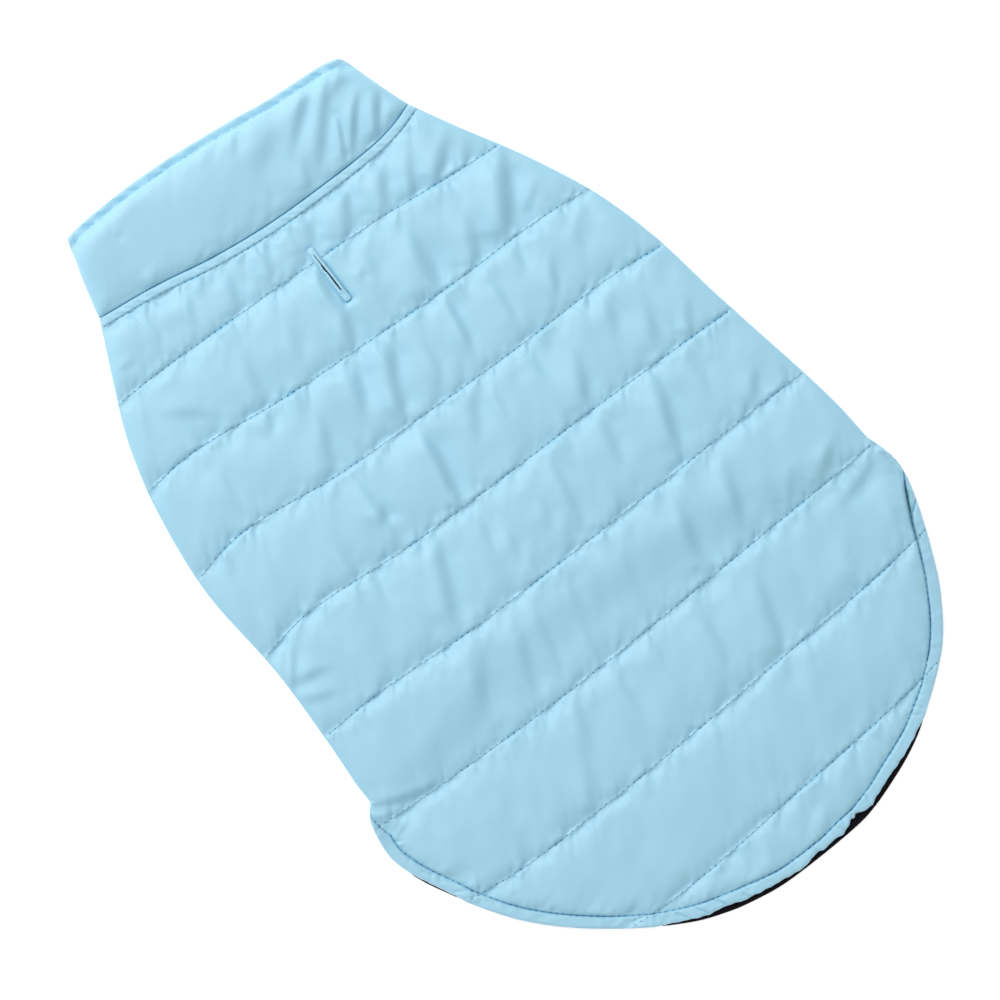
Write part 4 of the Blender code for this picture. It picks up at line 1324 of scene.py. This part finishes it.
# %% Shell cloth
SHELL = (0.370, 0.692, 0.865)
SHELL_SHADE = (0.345, 0.662, 0.840)
# HOLE_SHADE is painted shade, for the needle pits and the hem's overhang
HOLE_SHADE = (0.05, 0.21, 0.31)
FLEECE = (0.007, 0.006, 0.009)
WEAVE = 0.42 * MM  # pitch of the weave


def shell_cloth(name, colour, shade, roughness):
    """Polyester weave with shade painted dark at its needle holes and under the hem's overhang,
    and black on its lined inner side.
    """
    cloth = Recipe(name, colour, roughness, Sheen_Weight=0.1, Sheen_Roughness=0.45,
                   Specular_IOR_Level=1.0)
    tone = cloth.node("ShaderNodeMix", {"data_type": "RGBA"},
                      {"Factor": cloth.noise(38.0, 3.0), 6: (*colour, 1), 7: (*shade, 1)},
                      output=2)
    split = cloth.tree.nodes.new("ShaderNodeSeparateXYZ")
    cloth.put(split.inputs[0], cloth.place())
    x, y, z = (Value(cloth, split.outputs[i]) for i in range(3))
    # painted shade, darker in the needle pits and under the hem's overhang
    pits_and_painted_shade = cloth.node("ShaderNodeAttribute", {"attribute_name": "needle_pits_and_painted_shade"}, {}, output=2)
    tone = cloth.node("ShaderNodeMix", {"data_type": "RGBA"},
                      {"Factor": pits_and_painted_shade, 6: tone, 7: (*HOLE_SHADE, 1)}, output=2)
    inner = cloth.node("ShaderNodeAttribute", {"attribute_name": "inner_side"}, {}, output=2)
    tone = cloth.node("ShaderNodeMix", {"data_type": "RGBA"},
                      {"Factor": inner, 6: tone, 7: (*FLEECE, 1)}, output=2)
    cloth.put(cloth.shader.inputs["Base Color"], tone)
    warp = cloth.node("ShaderNodeMath", {"operation": "SINE"},
                      {0: (x + z * 0.7) * (2 * math.pi / WEAVE)})
    weft = cloth.node("ShaderNodeMath", {"operation": "SINE"},
                      {0: (y + z * 0.7) * (2 * math.pi / WEAVE)})
    cloth.bump(warp * weft + cloth.noise(1800.0, 1.0), 0.00004, 0.5)
    return cloth.material


shell = shell_cloth("blue polyester", SHELL, SHELL_SHADE, 0.5)
# a darker blue, partly the thread's own colour and partly painted shade of the seam's crease
thread = Recipe("blue thread", (0.25, 0.50, 0.64), 0.55).material
pale_thread = Recipe("pale thread", (0.52, 0.80, 0.92), 0.5).material
slit_edge = shell_cloth("slit facing polyester", SHELL, SHELL_SHADE, 0.5)
fleece_recipe = Recipe("black fleece", FLEECE, 0.95, Sheen_Weight=0.04,
                       Sheen_Roughness=0.6, Specular_IOR_Level=0.1)
fleece_recipe.bump(fleece_recipe.noise(900.0, 4.0), 0.0006, 0.8)
fleece = fleece_recipe.material

COVER = {
    back_cloth: (shell, "shell"),
    collar_cloth: (shell, "shell"),
    collar_chest_cloth: (shell, "shell"),
    belly_cloth: (shell, "shell"),
    slit_cloth: (slit_edge, "facing"),
    lining_cloth: (fleece, "fleece"),
    quilting: (thread, "shell"),
    hem_threads: (thread, "shell"),
    neck_threads: (thread, "shell"),
    collar_threads: (pale_thread, "shell"),
    slit_threads: (pale_thread, "facing"),
    leg_threads: (thread, "shell"),
}
for piece, (material, slot) in COVER.items():
    piece.data.materials.clear()
    piece.data.materials.append(material)
    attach(piece, "root")
print("pieces:", len(COVER))

# %% [markdown]

# %% [markdown]
# ## Studio
#
# The coat lies on a plain pale floor under a large soft light from beyond the collar, with an
# even white surround, and the camera looks straight down.

# %% Floor, light and camera
bpy.ops.mesh.primitive_plane_add(size=6.0, location=(0, 0, -0.0005))
floor = bpy.context.object
floor.name = "floor"
floor_paint = Recipe("pale floor", (0.9, 0.9, 0.9), 0.9)
floor_paint.put(floor_paint.shader.inputs["Emission Color"], (1, 1, 1, 1))
floor_paint.put(floor_paint.shader.inputs["Emission Strength"], 0.6)
floor.data.materials.append(floor_paint.material)

world = bpy.data.worlds.new("studio")
bpy.context.scene.world = world
world.use_nodes = True
surround = world.node_tree.nodes["Background"]
surround.inputs["Color"].default_value = (1, 1, 1, 1)
surround.inputs["Strength"].default_value = 0.6

bpy.ops.object.light_add(type="AREA", location=(-0.2, 1.7, 1.7))
key = bpy.context.object
key.name = "key light"
key.data.size = 1.3
key.data.energy = 33.0
key.rotation_euler = (-key.location).to_track_quat("-Z", "Y").to_euler()

SIGHT = 0.420  # width of the field of view at the height of the puffs
CAMERA_TURN = -41.0
camera_data = bpy.data.cameras.new("camera")
camera_data.lens, camera_data.sensor_width = 135, 36
camera = bpy.data.objects.new("camera", camera_data)
bpy.context.scene.collection.objects.link(camera)
camera.location = (-0.0015, -0.00055, SIGHT * 135 / 36 + 0.006)
camera.rotation_euler = (0, 0, math.radians(CAMERA_TURN))
bpy.context.scene.camera = camera
bpy.context.scene.view_settings.view_transform = "Standard"
